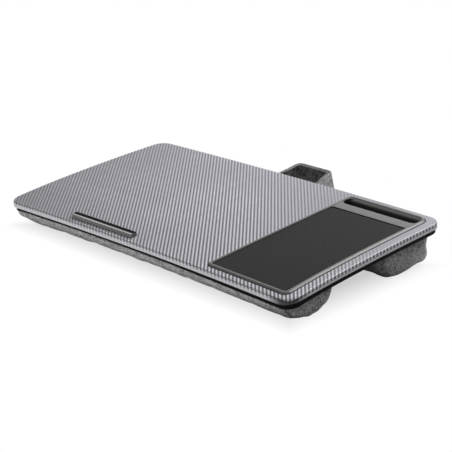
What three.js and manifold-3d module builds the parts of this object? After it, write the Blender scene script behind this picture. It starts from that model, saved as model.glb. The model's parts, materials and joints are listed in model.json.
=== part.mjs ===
// Lap desk: a film-wrapped board with a drop-in tray for a mouse pad and a phone, a device ledge,
// two sewn bolsters underneath and a strap handle at the back. Millimetres, +Z up.
//
// The pieces are placed in the board's own frame: X to the right, Y to the back, Z out of the board,
// with the origin in the middle of its top face. The last section tilts that frame onto the bolsters
// and puts the floor at z = 0, under the middle of the whole object.

import * as THREE from "three";
import { mergeVertices } from "three/addons/utils/BufferGeometryUtils.js";
import ManifoldModule from "manifold-3d";

// Fits
const GLUE_LINE = 0.3; // between bonded, sewn or seated faces
const DROP_IN_CLEARANCE = 0.4; // round the tray's skirt and the pad
const SCREW_CLEARANCE = 0.4; // round a screw

// Board
const BOARD_WIDTH = 536;
const BOARD_DEPTH = 305;
const BOARD_CORNER_RADIUS = 25;
const EDGE_ROLL_RADIUS = 3;
const FILM_THICKNESS = 0.6;
const CORE_THICKNESS = 8;
const BASE_THICKNESS = 7.3;
const BASE_INSET = 2; // of the base panel's side and back edges behind the film
const BASE_EDGE_RADIUS = 3;

// Tray insert
const TRAY_WIDTH = 134;
const TRAY_DEPTH = 283.6;
const TRAY_CORNER_RADIUS = 7;
const TRAY_RIGHT_MARGIN = 14.2; // from the board's right edge
const TRAY_FRONT_MARGIN = 10.7; // from the board's front edge
const RIM_WIDTH = 5.5;
const RIM_HEIGHT = 2.2; // above the film
const RIM_ROLL_RADIUS = 1.4;
const RIM_OVERLAP = 2; // of the rim on the film
const TRAY_WALL = 2;
const RIB_COLUMNS = 3;
const RIB_ROWS = 6;
const BAR_DEPTH = 17.6; // from the pad to the phone slot
const BAR_RISE = 1.3; // above the film
const SLOT_MOUTH = 21.8; // front to back
const SLOT_FLOOR = 10; // front to back
const SLOT_CORNER_RADIUS = 6;
const SLOT_SKIN = 1.4; // of the base panel under the slot
const BOSS_DIAMETER = 9;
const BOSS_INSET = 9; // from the pad's edges

// Mouse pad
const PAD_THICKNESS = 1.1;
const PAD_BACKING_THICKNESS = 1.5;

// Device ledge
const LEDGE_LENGTH = 122;
const LEDGE_DEPTH = 8;
const LEDGE_HEIGHT = 6.5;
const LEDGE_LEAN = 1.6; // of its front face, over its height
const LEDGE_TOP_RADIUS = 1.2;
const LEDGE_FRONT_MARGIN = 7; // from the board's front edge
const LEDGE_PEG_DIAMETER = 6.4;
const LEDGE_PEG_LENGTH = 5;
const LEDGE_PEG_SPACING = 84;

// Screws
const SHANK_DIAMETER = 3;
const HEAD_DIAMETER = 6.4;
const HEAD_DEPTH = 2.2;
const SCREW_BITE = 6; // of a screw's shank in the piece that it holds
const SCREW_SINK = 0.2; // of a head under its face

// Bolsters
const COVER_THICKNESS = 1.5;
const FRONT_BOLSTER_SIDE_MARGIN = 13; // from the board's sides to the end seams
const FRONT_BOLSTER_DEPTH = 88;
const FRONT_BOLSTER_HEIGHT = 29.3; // standing, under the base panel
const FRONT_BOLSTER_MARGIN = 1.5; // from the board's front edge
const FRONT_BOLSTER_SQUARENESS = 1.55; // power of the section's superellipse: 2 is round
const FRONT_BOLSTER_DRAW_IN = 7; // of its sides at the end seams
const FRONT_BOLSTER_DRAW_UP = 1; // of its underside at the end seams
const FRONT_END_BULGE = 5; // of the end panels past the seams
const LIP_HEIGHT = 4.4; // of the front cover before the base panel's front edge
const LIP_END_MARGIN = 25; // from the end seams to where the front cover's lip begins
const LIP_RUN_IN = 140; // along which the lip rises to its full height
const REAR_BOLSTER_SIDE_MARGIN = 19;
const REAR_BOLSTER_DEPTH = 101;
const REAR_BOLSTER_HEIGHT = 45.3;
const REAR_BOLSTER_MARGIN = 7.5; // from the board's back edge
const REAR_BOLSTER_SQUARENESS = 4.2;
const REAR_BOLSTER_DRAW_IN = 1.5;
const REAR_BOLSTER_DRAW_UP = 1.5;
const REAR_END_BULGE = 7;
const BOLSTER_PRESS = 1.2; // of the crown, flattened on the floor
const LINING_THICKNESS = 1.2;
const LINING_MARGIN = 14; // from the base panel's sides
const LINING_GAP = 1.5; // to the bolsters' seams

// Strap handle
const STRAP_WIDTH = 30;
const STRAP_THICKNESS = 5;
const HANDLE_SPAN = 62; // outside of leg to outside of leg, at the far end
const HANDLE_FLARE = 6; // of each leg outwards, from the far end to the hinge line
const HANDLE_REACH = 46; // from its hinge line to its outside
const HANDLE_CORNER_RADIUS = 11;
const HANDLE_STANDOFF = 12; // of the hinge line behind the board
const HANDLE_DROP = 10.7; // of the hinge line under the base panel
const HANDLE_RISE = THREE.MathUtils.degToRad(10); // of the resting loop over the board's plane
const HANDLE_SWING_UP = THREE.MathUtils.degToRad(60); // from rest
const HANDLE_SWING_DOWN = THREE.MathUtils.degToRad(35);
const TAB_FLANGE = 16; // sewn to the rear bolster, outwards of each leg
const TAB_THICKNESS = 2.4; // of the flange behind the bolster

// Facets
const CORNER_STEPS = 6; // in a quarter-round corner
const ROLL_STEPS = 4; // in a rolled edge
const POST_STEPS = 14; // round a peg, boss or hole
const SECTION_STEPS = 20; // across a bolster
const BOLSTER_STATIONS = 12; // along a bolster

const PAST = 1; // that a cutter runs past what it cuts

// Levels in the board's frame
const FILM_UNDER = -FILM_THICKNESS;
const CORE_TOP = FILM_UNDER - GLUE_LINE;
const CORE_UNDER = CORE_TOP - CORE_THICKNESS;
const BASE_TOP = CORE_UNDER - GLUE_LINE;
const BASE_UNDER = BASE_TOP - BASE_THICKNESS;
const BOLSTER_TOP = BASE_UNDER - GLUE_LINE;
const PAD_BACKING_TOP = -PAD_THICKNESS - GLUE_LINE;
const PAD_BACKING_UNDER = PAD_BACKING_TOP - PAD_BACKING_THICKNESS;
const PAD_RECESS = PAD_BACKING_UNDER - GLUE_LINE;
const SLOT_SHELL_UNDER = BASE_UNDER + SLOT_SKIN + DROP_IN_CLEARANCE;

const wasm = await ManifoldModule();
wasm.setup();

// Solids and meshes

function solid(geometry) {
  const bare = geometry.clone();
  bare.deleteAttribute("normal");
  bare.deleteAttribute("uv");
  const merged = mergeVertices(bare);
  return new wasm.Manifold(new wasm.Mesh({
    numProp: 3,
    vertProperties: Float32Array.from(merged.attributes.position.array),
    triVerts: Uint32Array.from(merged.index.array),
  }));
}

function mesh(name, body, material) {
  const { vertProperties, triVerts } = body.getMesh();
  const geometry = new THREE.BufferGeometry();
  geometry.setAttribute("position", new THREE.BufferAttribute(vertProperties, 3));
  geometry.setIndex(new THREE.BufferAttribute(triVerts, 1));
  geometry.computeVertexNormals();
  const piece = new THREE.Mesh(geometry, material);
  piece.name = name;
  return piece;
}

// A closed skin over convex rings of equally many points, each anticlockwise seen from the last ring's side
function loft(rings) {
  const count = rings[0].length;
  const last = (rings.length - 1) * count;
  const index = [];
  for (let start = 0; start < last; start += count) {
    for (let i = 0; i < count; i++) {
      const a = start + i;
      const b = start + ((i + 1) % count);
      index.push(a, b, b + count, a, b + count, a + count);
    }
  }
  for (let i = 1; i + 1 < count; i++) {
    index.push(0, i + 1, i, last, last + i, last + i + 1);
  }
  const geometry = new THREE.BufferGeometry().setFromPoints(rings.flat());
  geometry.setIndex(index);
  return solid(geometry);
}

// A ring of a round-cornered rectangle { x, y, width, depth, radius } at height z, drawn in by inset
function ring(box, z, inset = 0) {
  const radius = Math.max(box.radius - inset, 0.2);
  const right = box.width / 2 - inset - radius;
  const back = box.depth / 2 - inset - radius;
  const corners = [[right, -back], [right, back], [-right, back], [-right, -back]];
  return corners.flatMap(([x, y], corner) =>
    Array.from({ length: CORNER_STEPS + 1 }, (_, step) => {
      const angle = (corner - 1 + step / CORNER_STEPS) * (Math.PI / 2);
      return new THREE.Vector3(box.x + x + radius * Math.cos(angle), box.y + y + radius * Math.sin(angle), z);
    }));
}

// A round-cornered plate with rolled edges
function plate(box, bottom, top, bottomRoll = 0, topRoll = 0) {
  const rolled = (radius, z, side) =>
    Array.from({ length: radius > 0 ? ROLL_STEPS + 1 : 1 }, (_, step) => {
      const angle = (step / ROLL_STEPS) * (Math.PI / 2);
      return ring(box, z + side * radius * (1 - Math.cos(angle)), radius * (1 - Math.sin(angle)));
    });
  return loft([...rolled(bottomRoll, bottom, 1), ...rolled(topRoll, top, -1).reverse()]);
}

function grown(box, by) {
  return { ...box, width: box.width + 2 * by, depth: box.depth + 2 * by, radius: box.radius + by };
}

function block(x0, x1, y0, y1, z0, z1) {
  const geometry = new THREE.BoxGeometry(x1 - x0, y1 - y0, z1 - z0);
  return solid(geometry.translate((x0 + x1) / 2, (y0 + y1) / 2, (z0 + z1) / 2));
}

function post({ x, y }, bottom, top, diameter) {
  const geometry = new THREE.CylinderGeometry(diameter / 2, diameter / 2, top - bottom, POST_STEPS);
  return solid(geometry.rotateX(Math.PI / 2).translate(x, y, (bottom + top) / 2));
}

function finish(color, roughness, metalness = 0) {
  return new THREE.MeshStandardMaterial({ color, roughness, metalness });
}

const FILM = finish(0xa6a5ac, 0.32);
const FIBREBOARD = finish(0x9a7b56, 0.9);
const BLACK_PLASTIC = finish(0x17171a, 0.35);
const GREY_PLASTIC = finish(0x8f8f90, 0.4, 0.2);
const LEATHERETTE = finish(0x3c3c3d, 0.7);
const FOAM = finish(0x2a2a2c, 0.95);
const STEEL = finish(0x8c8c88, 0.35, 1);
const FABRIC = finish(0x77777a, 0.95);
const FILLING = finish(0xe8e6e0, 1);

// Boxes of the board's pieces in plan

const boardBox = { x: 0, y: 0, width: BOARD_WIDTH, depth: BOARD_DEPTH, radius: BOARD_CORNER_RADIUS };
const trayBox = {
  x: BOARD_WIDTH / 2 - TRAY_RIGHT_MARGIN - TRAY_WIDTH / 2,
  y: -BOARD_DEPTH / 2 + TRAY_FRONT_MARGIN + TRAY_DEPTH / 2,
  width: TRAY_WIDTH,
  depth: TRAY_DEPTH,
  radius: TRAY_CORNER_RADIUS,
};
const baseInsetFront = FRONT_BOLSTER_MARGIN + COVER_THICKNESS + GLUE_LINE;
const baseBox = {
  ...grown(boardBox, -BASE_INSET),
  y: (baseInsetFront - BASE_INSET) / 2,
  depth: BOARD_DEPTH - baseInsetFront - BASE_INSET,
};
const skirtBox = grown(trayBox, -RIM_OVERLAP);
const trayHole = grown(skirtBox, DROP_IN_CLEARANCE);
const openingBox = grown(trayBox, -RIM_WIDTH);
const openingFront = openingBox.y - openingBox.depth / 2;
const slotBack = openingBox.y + openingBox.depth / 2;
const slotFront = slotBack - SLOT_MOUTH;
const padBack = slotFront - BAR_DEPTH;
const recessBox = { ...openingBox, y: (openingFront + padBack) / 2, depth: padBack - openingFront };
const padBox = grown(recessBox, -DROP_IN_CLEARANCE);
const slotShellFront = slotFront - TRAY_WALL;
const slotShellBack = skirtBox.y + skirtBox.depth / 2;
const slotShellBox = {
  ...skirtBox,
  y: (slotShellFront + slotShellBack) / 2,
  depth: slotShellBack - slotShellFront,
};
const laptopCentre = (-BOARD_WIDTH / 2 + openingBox.x - openingBox.width / 2) / 2;
const ledgeBox = {
  x: laptopCentre,
  y: -BOARD_DEPTH / 2 + LEDGE_FRONT_MARGIN + LEDGE_DEPTH / 2,
  width: LEDGE_LENGTH,
  depth: LEDGE_DEPTH,
  radius: LEDGE_DEPTH / 2,
};

// Bolsters, as the standing sections that set the desk's tilt

const frontBolster = {
  name: "front_bolster",
  y: -BOARD_DEPTH / 2 + FRONT_BOLSTER_MARGIN + FRONT_BOLSTER_DEPTH / 2,
  length: BOARD_WIDTH - 2 * FRONT_BOLSTER_SIDE_MARGIN,
  depth: FRONT_BOLSTER_DEPTH,
  height: FRONT_BOLSTER_HEIGHT,
  squareness: FRONT_BOLSTER_SQUARENESS,
  drawIn: FRONT_BOLSTER_DRAW_IN,
  drawUp: FRONT_BOLSTER_DRAW_UP,
  bulge: FRONT_END_BULGE,
  lip: LIP_HEIGHT,
};
const rearBolster = {
  name: "rear_bolster",
  y: BOARD_DEPTH / 2 - REAR_BOLSTER_MARGIN - REAR_BOLSTER_DEPTH / 2,
  length: BOARD_WIDTH - 2 * REAR_BOLSTER_SIDE_MARGIN,
  depth: REAR_BOLSTER_DEPTH,
  height: REAR_BOLSTER_HEIGHT,
  squareness: REAR_BOLSTER_SQUARENESS,
  drawIn: REAR_BOLSTER_DRAW_IN,
  drawUp: REAR_BOLSTER_DRAW_UP,
  bulge: REAR_END_BULGE,
  lip: 0,
};
const TILT = Math.atan2(rearBolster.height - frontBolster.height, rearBolster.y - frontBolster.y);
const FLOOR_DISTANCE = (frontBolster.height - BASE_UNDER) * Math.cos(TILT) - frontBolster.y * Math.sin(TILT);

// Screw places

const baseScrewColumns = [
  -BOARD_WIDTH / 2 + 2 * BOARD_CORNER_RADIUS,
  laptopCentre,
  trayHole.x - trayHole.width / 2 - BOARD_CORNER_RADIUS,
];
const baseScrews = [frontBolster.y, rearBolster.y].flatMap((y) => baseScrewColumns.map((x) => ({ x, y })));
const trayScrews = [-1, 1].flatMap((row) => [-1, 1].map((column) => ({
  x: recessBox.x + column * (recessBox.width / 2 - BOSS_INSET),
  y: recessBox.y + row * (recessBox.depth / 2 - BOSS_INSET),
})));
const ledgeScrews = [-1, 1].map((side) => ({
  x: ledgeBox.x + side * (LEDGE_PEG_SPACING / 2),
  y: ledgeBox.y,
}));

// A countersunk screw with its head at the bottom, and the hole that it runs in

function screwProfile(headUnder, tip, ease) {
  const shank = SHANK_DIAMETER / 2 + ease;
  const head = HEAD_DIAMETER / 2 + ease;
  const point = ease > 0 ? shank : shank / 2;
  const neck = headUnder + HEAD_DEPTH;
  return [[0, headUnder], [head, headUnder], [shank, neck], [shank, tip - shank], [point, tip], [0, tip]];
}

function turned(profile, { x, y }) {
  const geometry = new THREE.LatheGeometry(profile.map(([r, z]) => new THREE.Vector2(r, z)), POST_STEPS);
  return solid(geometry.rotateX(Math.PI / 2).translate(x, y, 0));
}

function screw(name, place, under, bite) {
  return mesh(name, turned(screwProfile(under + SCREW_SINK, bite, 0), place), STEEL);
}

function screwHole(place, under, bite) {
  const bore = turned(screwProfile(under + SCREW_SINK, bite + SCREW_CLEARANCE, SCREW_CLEARANCE), place);
  return bore.add(post(place, under - PAST, under + SCREW_SINK, HEAD_DIAMETER + 2 * SCREW_CLEARANCE));
}

const BASE_SCREW_TIP = CORE_UNDER + SCREW_BITE;
const TRAY_SCREW_TIP = PAD_RECESS - TRAY_WALL - SCREW_CLEARANCE;
const LEDGE_SCREW_TIP = LEDGE_HEIGHT / 2;
const LEDGE_SCREW_UNDER = CORE_UNDER;

const baseScrewHoles = baseScrews.map((place) => screwHole(place, BASE_UNDER, BASE_SCREW_TIP));
const trayScrewHoles = trayScrews.map((place) => screwHole(place, BASE_UNDER, TRAY_SCREW_TIP));
const ledgeScrewHoles = ledgeScrews.map((place) => screwHole(place, LEDGE_SCREW_UNDER, LEDGE_SCREW_TIP));

function cutBy(body, cutters) {
  return cutters.reduce((left, cutter) => left.subtract(cutter), body);
}

// Board: film over the core's top and rolled edge, core, base panel

function board() {
  const wrapped = (inset, bottom, top) =>
    plate(grown(boardBox, -inset), bottom, top, 0, EDGE_ROLL_RADIUS - inset);
  const pegHoles = ledgeScrews.map((place) =>
    post(place, -LEDGE_PEG_LENGTH - GLUE_LINE, PAST, LEDGE_PEG_DIAMETER + 2 * DROP_IN_CLEARANCE));
  const trayCut = plate(trayHole, CORE_UNDER - PAST, PAST);
  const film = wrapped(0, CORE_UNDER, 0)
    .subtract(wrapped(FILM_THICKNESS, CORE_UNDER - PAST, FILM_UNDER));
  const core = wrapped(FILM_THICKNESS + GLUE_LINE, CORE_UNDER, CORE_TOP);
  const base = plate(baseBox, BASE_UNDER, BASE_TOP, BASE_EDGE_RADIUS);
  const coreScrewHoles = [...ledgeScrewHoles, ...baseScrewHoles];
  const slotRecess = plate(grown(slotShellBox, DROP_IN_CLEARANCE), BASE_UNDER + SLOT_SKIN, BASE_TOP + PAST);
  return [
    mesh("carbon_film", cutBy(film, [trayCut, ...pegHoles]), FILM),
    mesh("board_core", cutBy(core, [trayCut, ...pegHoles, ...coreScrewHoles]), FIBREBOARD),
    mesh("base_panel", cutBy(base, [slotRecess, ...baseScrewHoles, ...trayScrewHoles]), BLACK_PLASTIC),
    ...baseScrews.map((place, i) => screw(`base_screw_${i + 1}`, place, BASE_UNDER, BASE_SCREW_TIP)),
  ];
}

// Tray insert: rim, skirt and slot shell, hollowed from above for pad and phone and from below between ribs

function phoneSlot() {
  const rows = 6;
  const floor = SLOT_SHELL_UNDER + TRAY_WALL;
  const top = RIM_HEIGHT + PAST;
  return loft(Array.from({ length: rows + 1 }, (_, row) => {
    const rise = row / rows;
    const depth = SLOT_FLOOR + (SLOT_MOUTH - SLOT_FLOOR) * rise ** 2;
    const radius = Math.min(SLOT_CORNER_RADIUS, depth / 2.2);
    return ring({ ...openingBox, y: slotFront + depth / 2, depth, radius }, floor + (top - floor) * rise);
  }));
}

function ribCells() {
  const under = CORE_UNDER - PAST;
  const ceiling = PAD_RECESS - TRAY_WALL;
  const wide = recessBox.width / RIB_COLUMNS;
  const deep = recessBox.depth / RIB_ROWS;
  const left = recessBox.x - recessBox.width / 2;
  const cells = [];
  for (let column = 0; column < RIB_COLUMNS; column++) {
    for (let row = 0; row < RIB_ROWS; row++) {
      const x = left + column * wide + TRAY_WALL / 2;
      const y = openingFront + row * deep + TRAY_WALL / 2;
      cells.push(block(x, x + wide - TRAY_WALL, y, y + deep - TRAY_WALL, under, ceiling));
    }
  }
  const barHalf = recessBox.width / 2 - TRAY_WALL / 2;
  cells.push(block(recessBox.x - barHalf, recessBox.x + barHalf, padBack + TRAY_WALL, slotShellFront,
    under, BAR_RISE - TRAY_WALL));
  return cells;
}

function tray() {
  const rim = plate(trayBox, GLUE_LINE, RIM_HEIGHT, 0, RIM_ROLL_RADIUS);
  const skirt = plate(skirtBox, CORE_UNDER, RIM_HEIGHT / 2);
  const slotShell = plate(slotShellBox, SLOT_SHELL_UNDER, RIM_HEIGHT / 2);
  const frontOpening = {
    ...openingBox,
    y: (openingFront + slotFront + SLOT_MOUTH / 2) / 2,
    depth: slotFront + SLOT_MOUTH / 2 - openingFront,
  };
  const bossTop = PAD_RECESS - TRAY_WALL / 2;
  const bosses = trayScrews.map((place) => post(place, CORE_UNDER, bossTop, BOSS_DIAMETER));
  const body = cutBy(rim.add(skirt).add(slotShell), [
    plate(frontOpening, BAR_RISE, RIM_HEIGHT + PAST),
    plate(recessBox, PAD_RECESS, RIM_HEIGHT + PAST),
    phoneSlot(),
    ...ribCells(),
  ]);
  const bossed = bosses.reduce((whole, boss) => whole.add(boss), body);
  return [
    mesh("tray_insert", cutBy(bossed, trayScrewHoles), GREY_PLASTIC),
    mesh("pad_backing", plate(padBox, PAD_BACKING_UNDER, PAD_BACKING_TOP), FOAM),
    mesh("mouse_pad", plate(padBox, -PAD_THICKNESS, 0, 0, PAD_THICKNESS / 3), LEATHERETTE),
    ...trayScrews.map((place, i) => screw(`tray_screw_${i + 1}`, place, BASE_UNDER, TRAY_SCREW_TIP)),
  ];
}

// Device ledge: a round-ended bar whose front face leans back, on two pegs in the board

function ledge() {
  const level = (z, inset) => {
    const lean = LEDGE_LEAN * (z / LEDGE_HEIGHT);
    const depth = LEDGE_DEPTH - lean;
    return ring({ ...ledgeBox, y: ledgeBox.y + lean / 2, depth, radius: depth / 2 }, z, inset);
  };
  const rolled = Array.from({ length: ROLL_STEPS + 1 }, (_, step) => {
    const angle = (step / ROLL_STEPS) * (Math.PI / 2);
    const inset = LEDGE_TOP_RADIUS * (1 - Math.cos(angle));
    return level(LEDGE_HEIGHT - LEDGE_TOP_RADIUS * (1 - Math.sin(angle)), inset);
  });
  const bar = loft([level(GLUE_LINE, 0), ...rolled]);
  const pegs = ledgeScrews.map((place) =>
    post(place, -LEDGE_PEG_LENGTH, LEDGE_HEIGHT / 2, LEDGE_PEG_DIAMETER));
  const whole = pegs.reduce((body, peg) => body.add(peg), bar);
  return [
    mesh("device_ledge", cutBy(whole, ledgeScrewHoles), BLACK_PLASTIC),
    ...["left", "right"].map((side, i) =>
      screw(`ledge_screw_${side}`, ledgeScrews[i], LEDGE_SCREW_UNDER, LEDGE_SCREW_TIP)),
  ];
}

// Bolsters: a crowned D section, drawn in at the end seams and pressed flat on the floor. The front one's
// cover rises in a lip before the base panel's front edge, which runs out towards the end seams.

function lipRise(bolster, x) {
  const begin = bolster.length / 2 - LIP_END_MARGIN;
  return bolster.lip * (1 - THREE.MathUtils.smoothstep(Math.abs(x), begin - LIP_RUN_IN, begin));
}

// A section at x, drawn in by inset all round; the tops are the levels of its open edges
function section(bolster, x, inset, backTop = BOLSTER_TOP, frontTop = backTop) {
  const end = Math.min(Math.abs(x) / (bolster.length / 2), 1);
  const drawn = end ** 6;
  const half = bolster.depth / 2 - inset - bolster.drawIn * drawn;
  const drop = bolster.height + BOLSTER_PRESS - GLUE_LINE - inset - bolster.drawUp * drawn;
  const curved = Array.from({ length: SECTION_STEPS + 1 }, (_, step) => {
    const angle = Math.PI * (step / SECTION_STEPS);
    const across = -Math.sign(Math.cos(angle)) * Math.abs(Math.cos(angle)) ** (2 / bolster.squareness);
    const down = Math.abs(Math.sin(angle)) ** (2 / bolster.squareness);
    return new THREE.Vector3(x, bolster.y + half * across, BOLSTER_TOP - drop * down);
  });
  curved[0].z = frontTop;
  curved[SECTION_STEPS].z = backTop;
  return curved;
}

function bolsterLoft(bolster, half, inset, top = BOLSTER_TOP, lipped = false) {
  return loft(Array.from({ length: BOLSTER_STATIONS + 1 }, (_, station) => {
    const x = half * Math.sin(Math.PI * (station / BOLSTER_STATIONS - 0.5)); // closer together at the ends
    return section(bolster, x, inset, top, top + (lipped ? lipRise(bolster, x) : 0));
  }));
}

// What of a body lies over the floor, or over a level that far above it
function overFloor(body, lift = 0) {
  const high = 2 * FLOOR_DISTANCE;
  const geometry = new THREE.BoxGeometry(2 * BOARD_WIDTH, 2 * BOARD_DEPTH, high);
  geometry.translate(0, 0, lift + high / 2 - FLOOR_DISTANCE).rotateX(-TILT);
  return body.intersect(solid(geometry));
}

function endPanel(bolster, side) {
  const seam = bolster.length / 2 + GLUE_LINE;
  const rows = 4;
  const rings = Array.from({ length: rows + 1 }, (_, row) => {
    const angle = (row / rows) * (Math.PI / 2) * 0.9;
    const inset = (bolster.height / 2) * (1 - Math.cos(angle));
    const points = section(bolster, side * bolster.length, inset, BOLSTER_TOP - inset);
    const out = seam + COVER_THICKNESS * (row > 0) + (bolster.bulge - COVER_THICKNESS) * Math.sin(angle);
    return points.map((point) => point.setX(side * out).setZ(Math.min(point.z, BOLSTER_TOP - inset)));
  });
  return overFloor(loft(side > 0 ? rings : rings.reverse()));
}

function bolsterPieces(bolster) {
  const half = bolster.length / 2;
  const hollowLoft = bolsterLoft(bolster, half + PAST, COVER_THICKNESS, BOLSTER_TOP + PAST);
  const hollow = overFloor(hollowLoft, COVER_THICKNESS);
  const underBase = plate(grown(baseBox, GLUE_LINE), BOLSTER_TOP, PAST, BASE_EDGE_RADIUS);
  const cover = cutBy(overFloor(bolsterLoft(bolster, half, 0, BOLSTER_TOP, true)), [hollow, underBase]);
  const fillInset = COVER_THICKNESS + GLUE_LINE;
  const filling = overFloor(bolsterLoft(bolster, half, fillInset), fillInset);
  return [
    mesh(`${bolster.name}_cover`, cover, FABRIC),
    mesh(`${bolster.name}_fill`, filling, FILLING),
    mesh(`${bolster.name}_end_left`, endPanel(bolster, -1), FABRIC),
    mesh(`${bolster.name}_end_right`, endPanel(bolster, 1), FABRIC),
  ];
}

function lining() {
  const front = frontBolster.y + frontBolster.depth / 2 + LINING_GAP;
  const back = rearBolster.y - rearBolster.depth / 2 - LINING_GAP;
  const box = {
    x: 0,
    y: (front + back) / 2,
    width: BOARD_WIDTH - 2 * (BASE_INSET + LINING_MARGIN),
    depth: back - front,
    radius: LINING_MARGIN / 2,
  };
  return mesh("under_lining", plate(box, BOLSTER_TOP - LINING_THICKNESS, BOLSTER_TOP), FABRIC);
}

// Strap handle: a flat loop on edge, hinged on the fold where it is sewn to two tabs behind the rear bolster

const hinge = { y: BOARD_DEPTH / 2 + HANDLE_STANDOFF, z: BASE_UNDER - HANDLE_DROP };

function hingeRound(y, z, diameter) {
  const long = HANDLE_SPAN + 4 * TAB_FLANGE;
  const geometry = new THREE.CylinderGeometry(diameter / 2, diameter / 2, long, 2 * POST_STEPS);
  return solid(geometry.rotateZ(Math.PI / 2).translate(0, y, z));
}

// The legs lean outwards from the far end's corners to their roots
const handleLean = Math.atan2(HANDLE_FLARE, HANDLE_REACH - HANDLE_CORNER_RADIUS);

function legOutside(y) {
  const straight = HANDLE_REACH - HANDLE_CORNER_RADIUS;
  return HANDLE_SPAN / 2 + (straight - y) * Math.tan(handleLean);
}

function loopOutline(inset, root) {
  const radius = HANDLE_CORNER_RADIUS - inset;
  const corner = HANDLE_SPAN / 2 - HANDLE_CORNER_RADIUS;
  const turn = HANDLE_REACH - HANDLE_CORNER_RADIUS;
  const rootOut = legOutside(root) - inset;
  const path = new THREE.Shape();
  path.moveTo(-rootOut, root);
  path.lineTo(rootOut, root);
  path.absarc(corner, turn, radius, -handleLean, Math.PI / 2);
  path.absarc(-corner, turn, radius, Math.PI / 2, Math.PI + handleLean);
  path.closePath();
  const options = { depth: STRAP_WIDTH, bevelEnabled: false, curveSegments: CORNER_STEPS };
  return solid(new THREE.ExtrudeGeometry(path, options).translate(0, 0, -STRAP_WIDTH / 2));
}

function handleLoop() {
  const outer = loopOutline(0, -STRAP_WIDTH / 2);
  const inner = loopOutline(STRAP_THICKNESS, -STRAP_WIDTH).scale([1, 1, 2]);
  const kept = block(-HANDLE_SPAN, HANDLE_SPAN, 0, 2 * HANDLE_REACH, -STRAP_WIDTH, STRAP_WIDTH)
    .add(hingeRound(0, 0, STRAP_WIDTH));
  const group = new THREE.Group();
  group.position.set(0, hinge.y, hinge.z);
  group.rotation.x = HANDLE_RISE;
  group.add(mesh("handle_loop", outer.subtract(inner).intersect(kept), FABRIC));
  return group;
}

// The space of the loop's legs, with its clearance, where the loop stands at an angle
function legSpace(angle) {
  const half = STRAP_WIDTH / 2 + GLUE_LINE;
  const geometry = new THREE.BoxGeometry(2 * HANDLE_SPAN, HANDLE_REACH, 2 * half);
  return solid(geometry.translate(0, HANDLE_REACH / 2, 0).rotateX(angle).translate(0, hinge.y, hinge.z));
}

function handleTab(name, side) {
  const outside = legOutside(-STRAP_WIDTH / 2);
  const bolsterBack = rearBolster.y + rearBolster.depth / 2;
  const flangeBack = bolsterBack + GLUE_LINE + TAB_THICKNESS;
  const top = BOLSTER_TOP - GLUE_LINE;
  const bottom = hinge.z - STRAP_WIDTH / 2;
  const span = (from, to, back) => {
    const [left, right] = side > 0 ? [from, to] : [-to, -from];
    return block(left, right, rearBolster.y, back, bottom, top);
  };
  const flange = span(outside - STRAP_THICKNESS, outside + TAB_FLANGE, flangeBack);
  const stub = span(outside - STRAP_THICKNESS, outside, hinge.y);
  const seat = bolsterLoft(rearBolster, rearBolster.length / 2, -GLUE_LINE, BOLSTER_TOP + PAST);
  const fold = hingeRound(hinge.y, hinge.z, STRAP_WIDTH + 2 * GLUE_LINE);
  const swung = [legSpace(HANDLE_RISE + HANDLE_SWING_UP), legSpace(HANDLE_RISE - HANDLE_SWING_DOWN)];
  return mesh(name, cutBy(flange.add(stub), [seat, fold, ...swung]), FABRIC);
}

// The desk stands on its bolsters, over the middle of its footprint

const desk = new THREE.Group();
desk.add(...board(), ...tray(), ...ledge());
desk.add(...bolsterPieces(frontBolster), ...bolsterPieces(rearBolster), lining());
desk.add(handleLoop(), handleTab("handle_tab_left", -1), handleTab("handle_tab_right", 1));
desk.rotation.x = TILT;
desk.position.z = FLOOR_DISTANCE;

const lapDesk = new THREE.Group();
lapDesk.add(desk);
lapDesk.updateMatrixWorld(true);
const middle = new THREE.Box3().setFromObject(lapDesk, true).getCenter(new THREE.Vector3());
desk.position.x -= middle.x;
desk.position.y -= middle.y;

export default lapDesk;
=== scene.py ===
# Lap desk: fine surfaces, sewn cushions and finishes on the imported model, in metres, +Z up.
import json
import math

import bmesh
import bpy
import numpy as np
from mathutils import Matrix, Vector


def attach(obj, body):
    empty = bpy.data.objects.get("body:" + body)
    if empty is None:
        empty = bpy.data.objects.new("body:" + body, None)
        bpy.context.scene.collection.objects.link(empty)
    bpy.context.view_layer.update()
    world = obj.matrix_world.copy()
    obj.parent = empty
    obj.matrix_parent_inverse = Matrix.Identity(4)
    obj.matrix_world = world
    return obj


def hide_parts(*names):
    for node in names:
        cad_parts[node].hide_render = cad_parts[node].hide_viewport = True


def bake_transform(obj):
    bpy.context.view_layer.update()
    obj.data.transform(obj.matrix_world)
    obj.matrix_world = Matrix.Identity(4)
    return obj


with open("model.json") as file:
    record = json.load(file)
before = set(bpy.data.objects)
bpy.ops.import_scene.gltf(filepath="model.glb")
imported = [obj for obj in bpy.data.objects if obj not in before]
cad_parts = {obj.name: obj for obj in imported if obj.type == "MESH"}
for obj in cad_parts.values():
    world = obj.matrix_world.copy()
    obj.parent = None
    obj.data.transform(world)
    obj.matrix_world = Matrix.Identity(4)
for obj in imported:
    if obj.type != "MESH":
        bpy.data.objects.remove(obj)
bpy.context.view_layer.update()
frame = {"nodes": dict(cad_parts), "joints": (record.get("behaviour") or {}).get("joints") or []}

MM = 0.001

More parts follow.
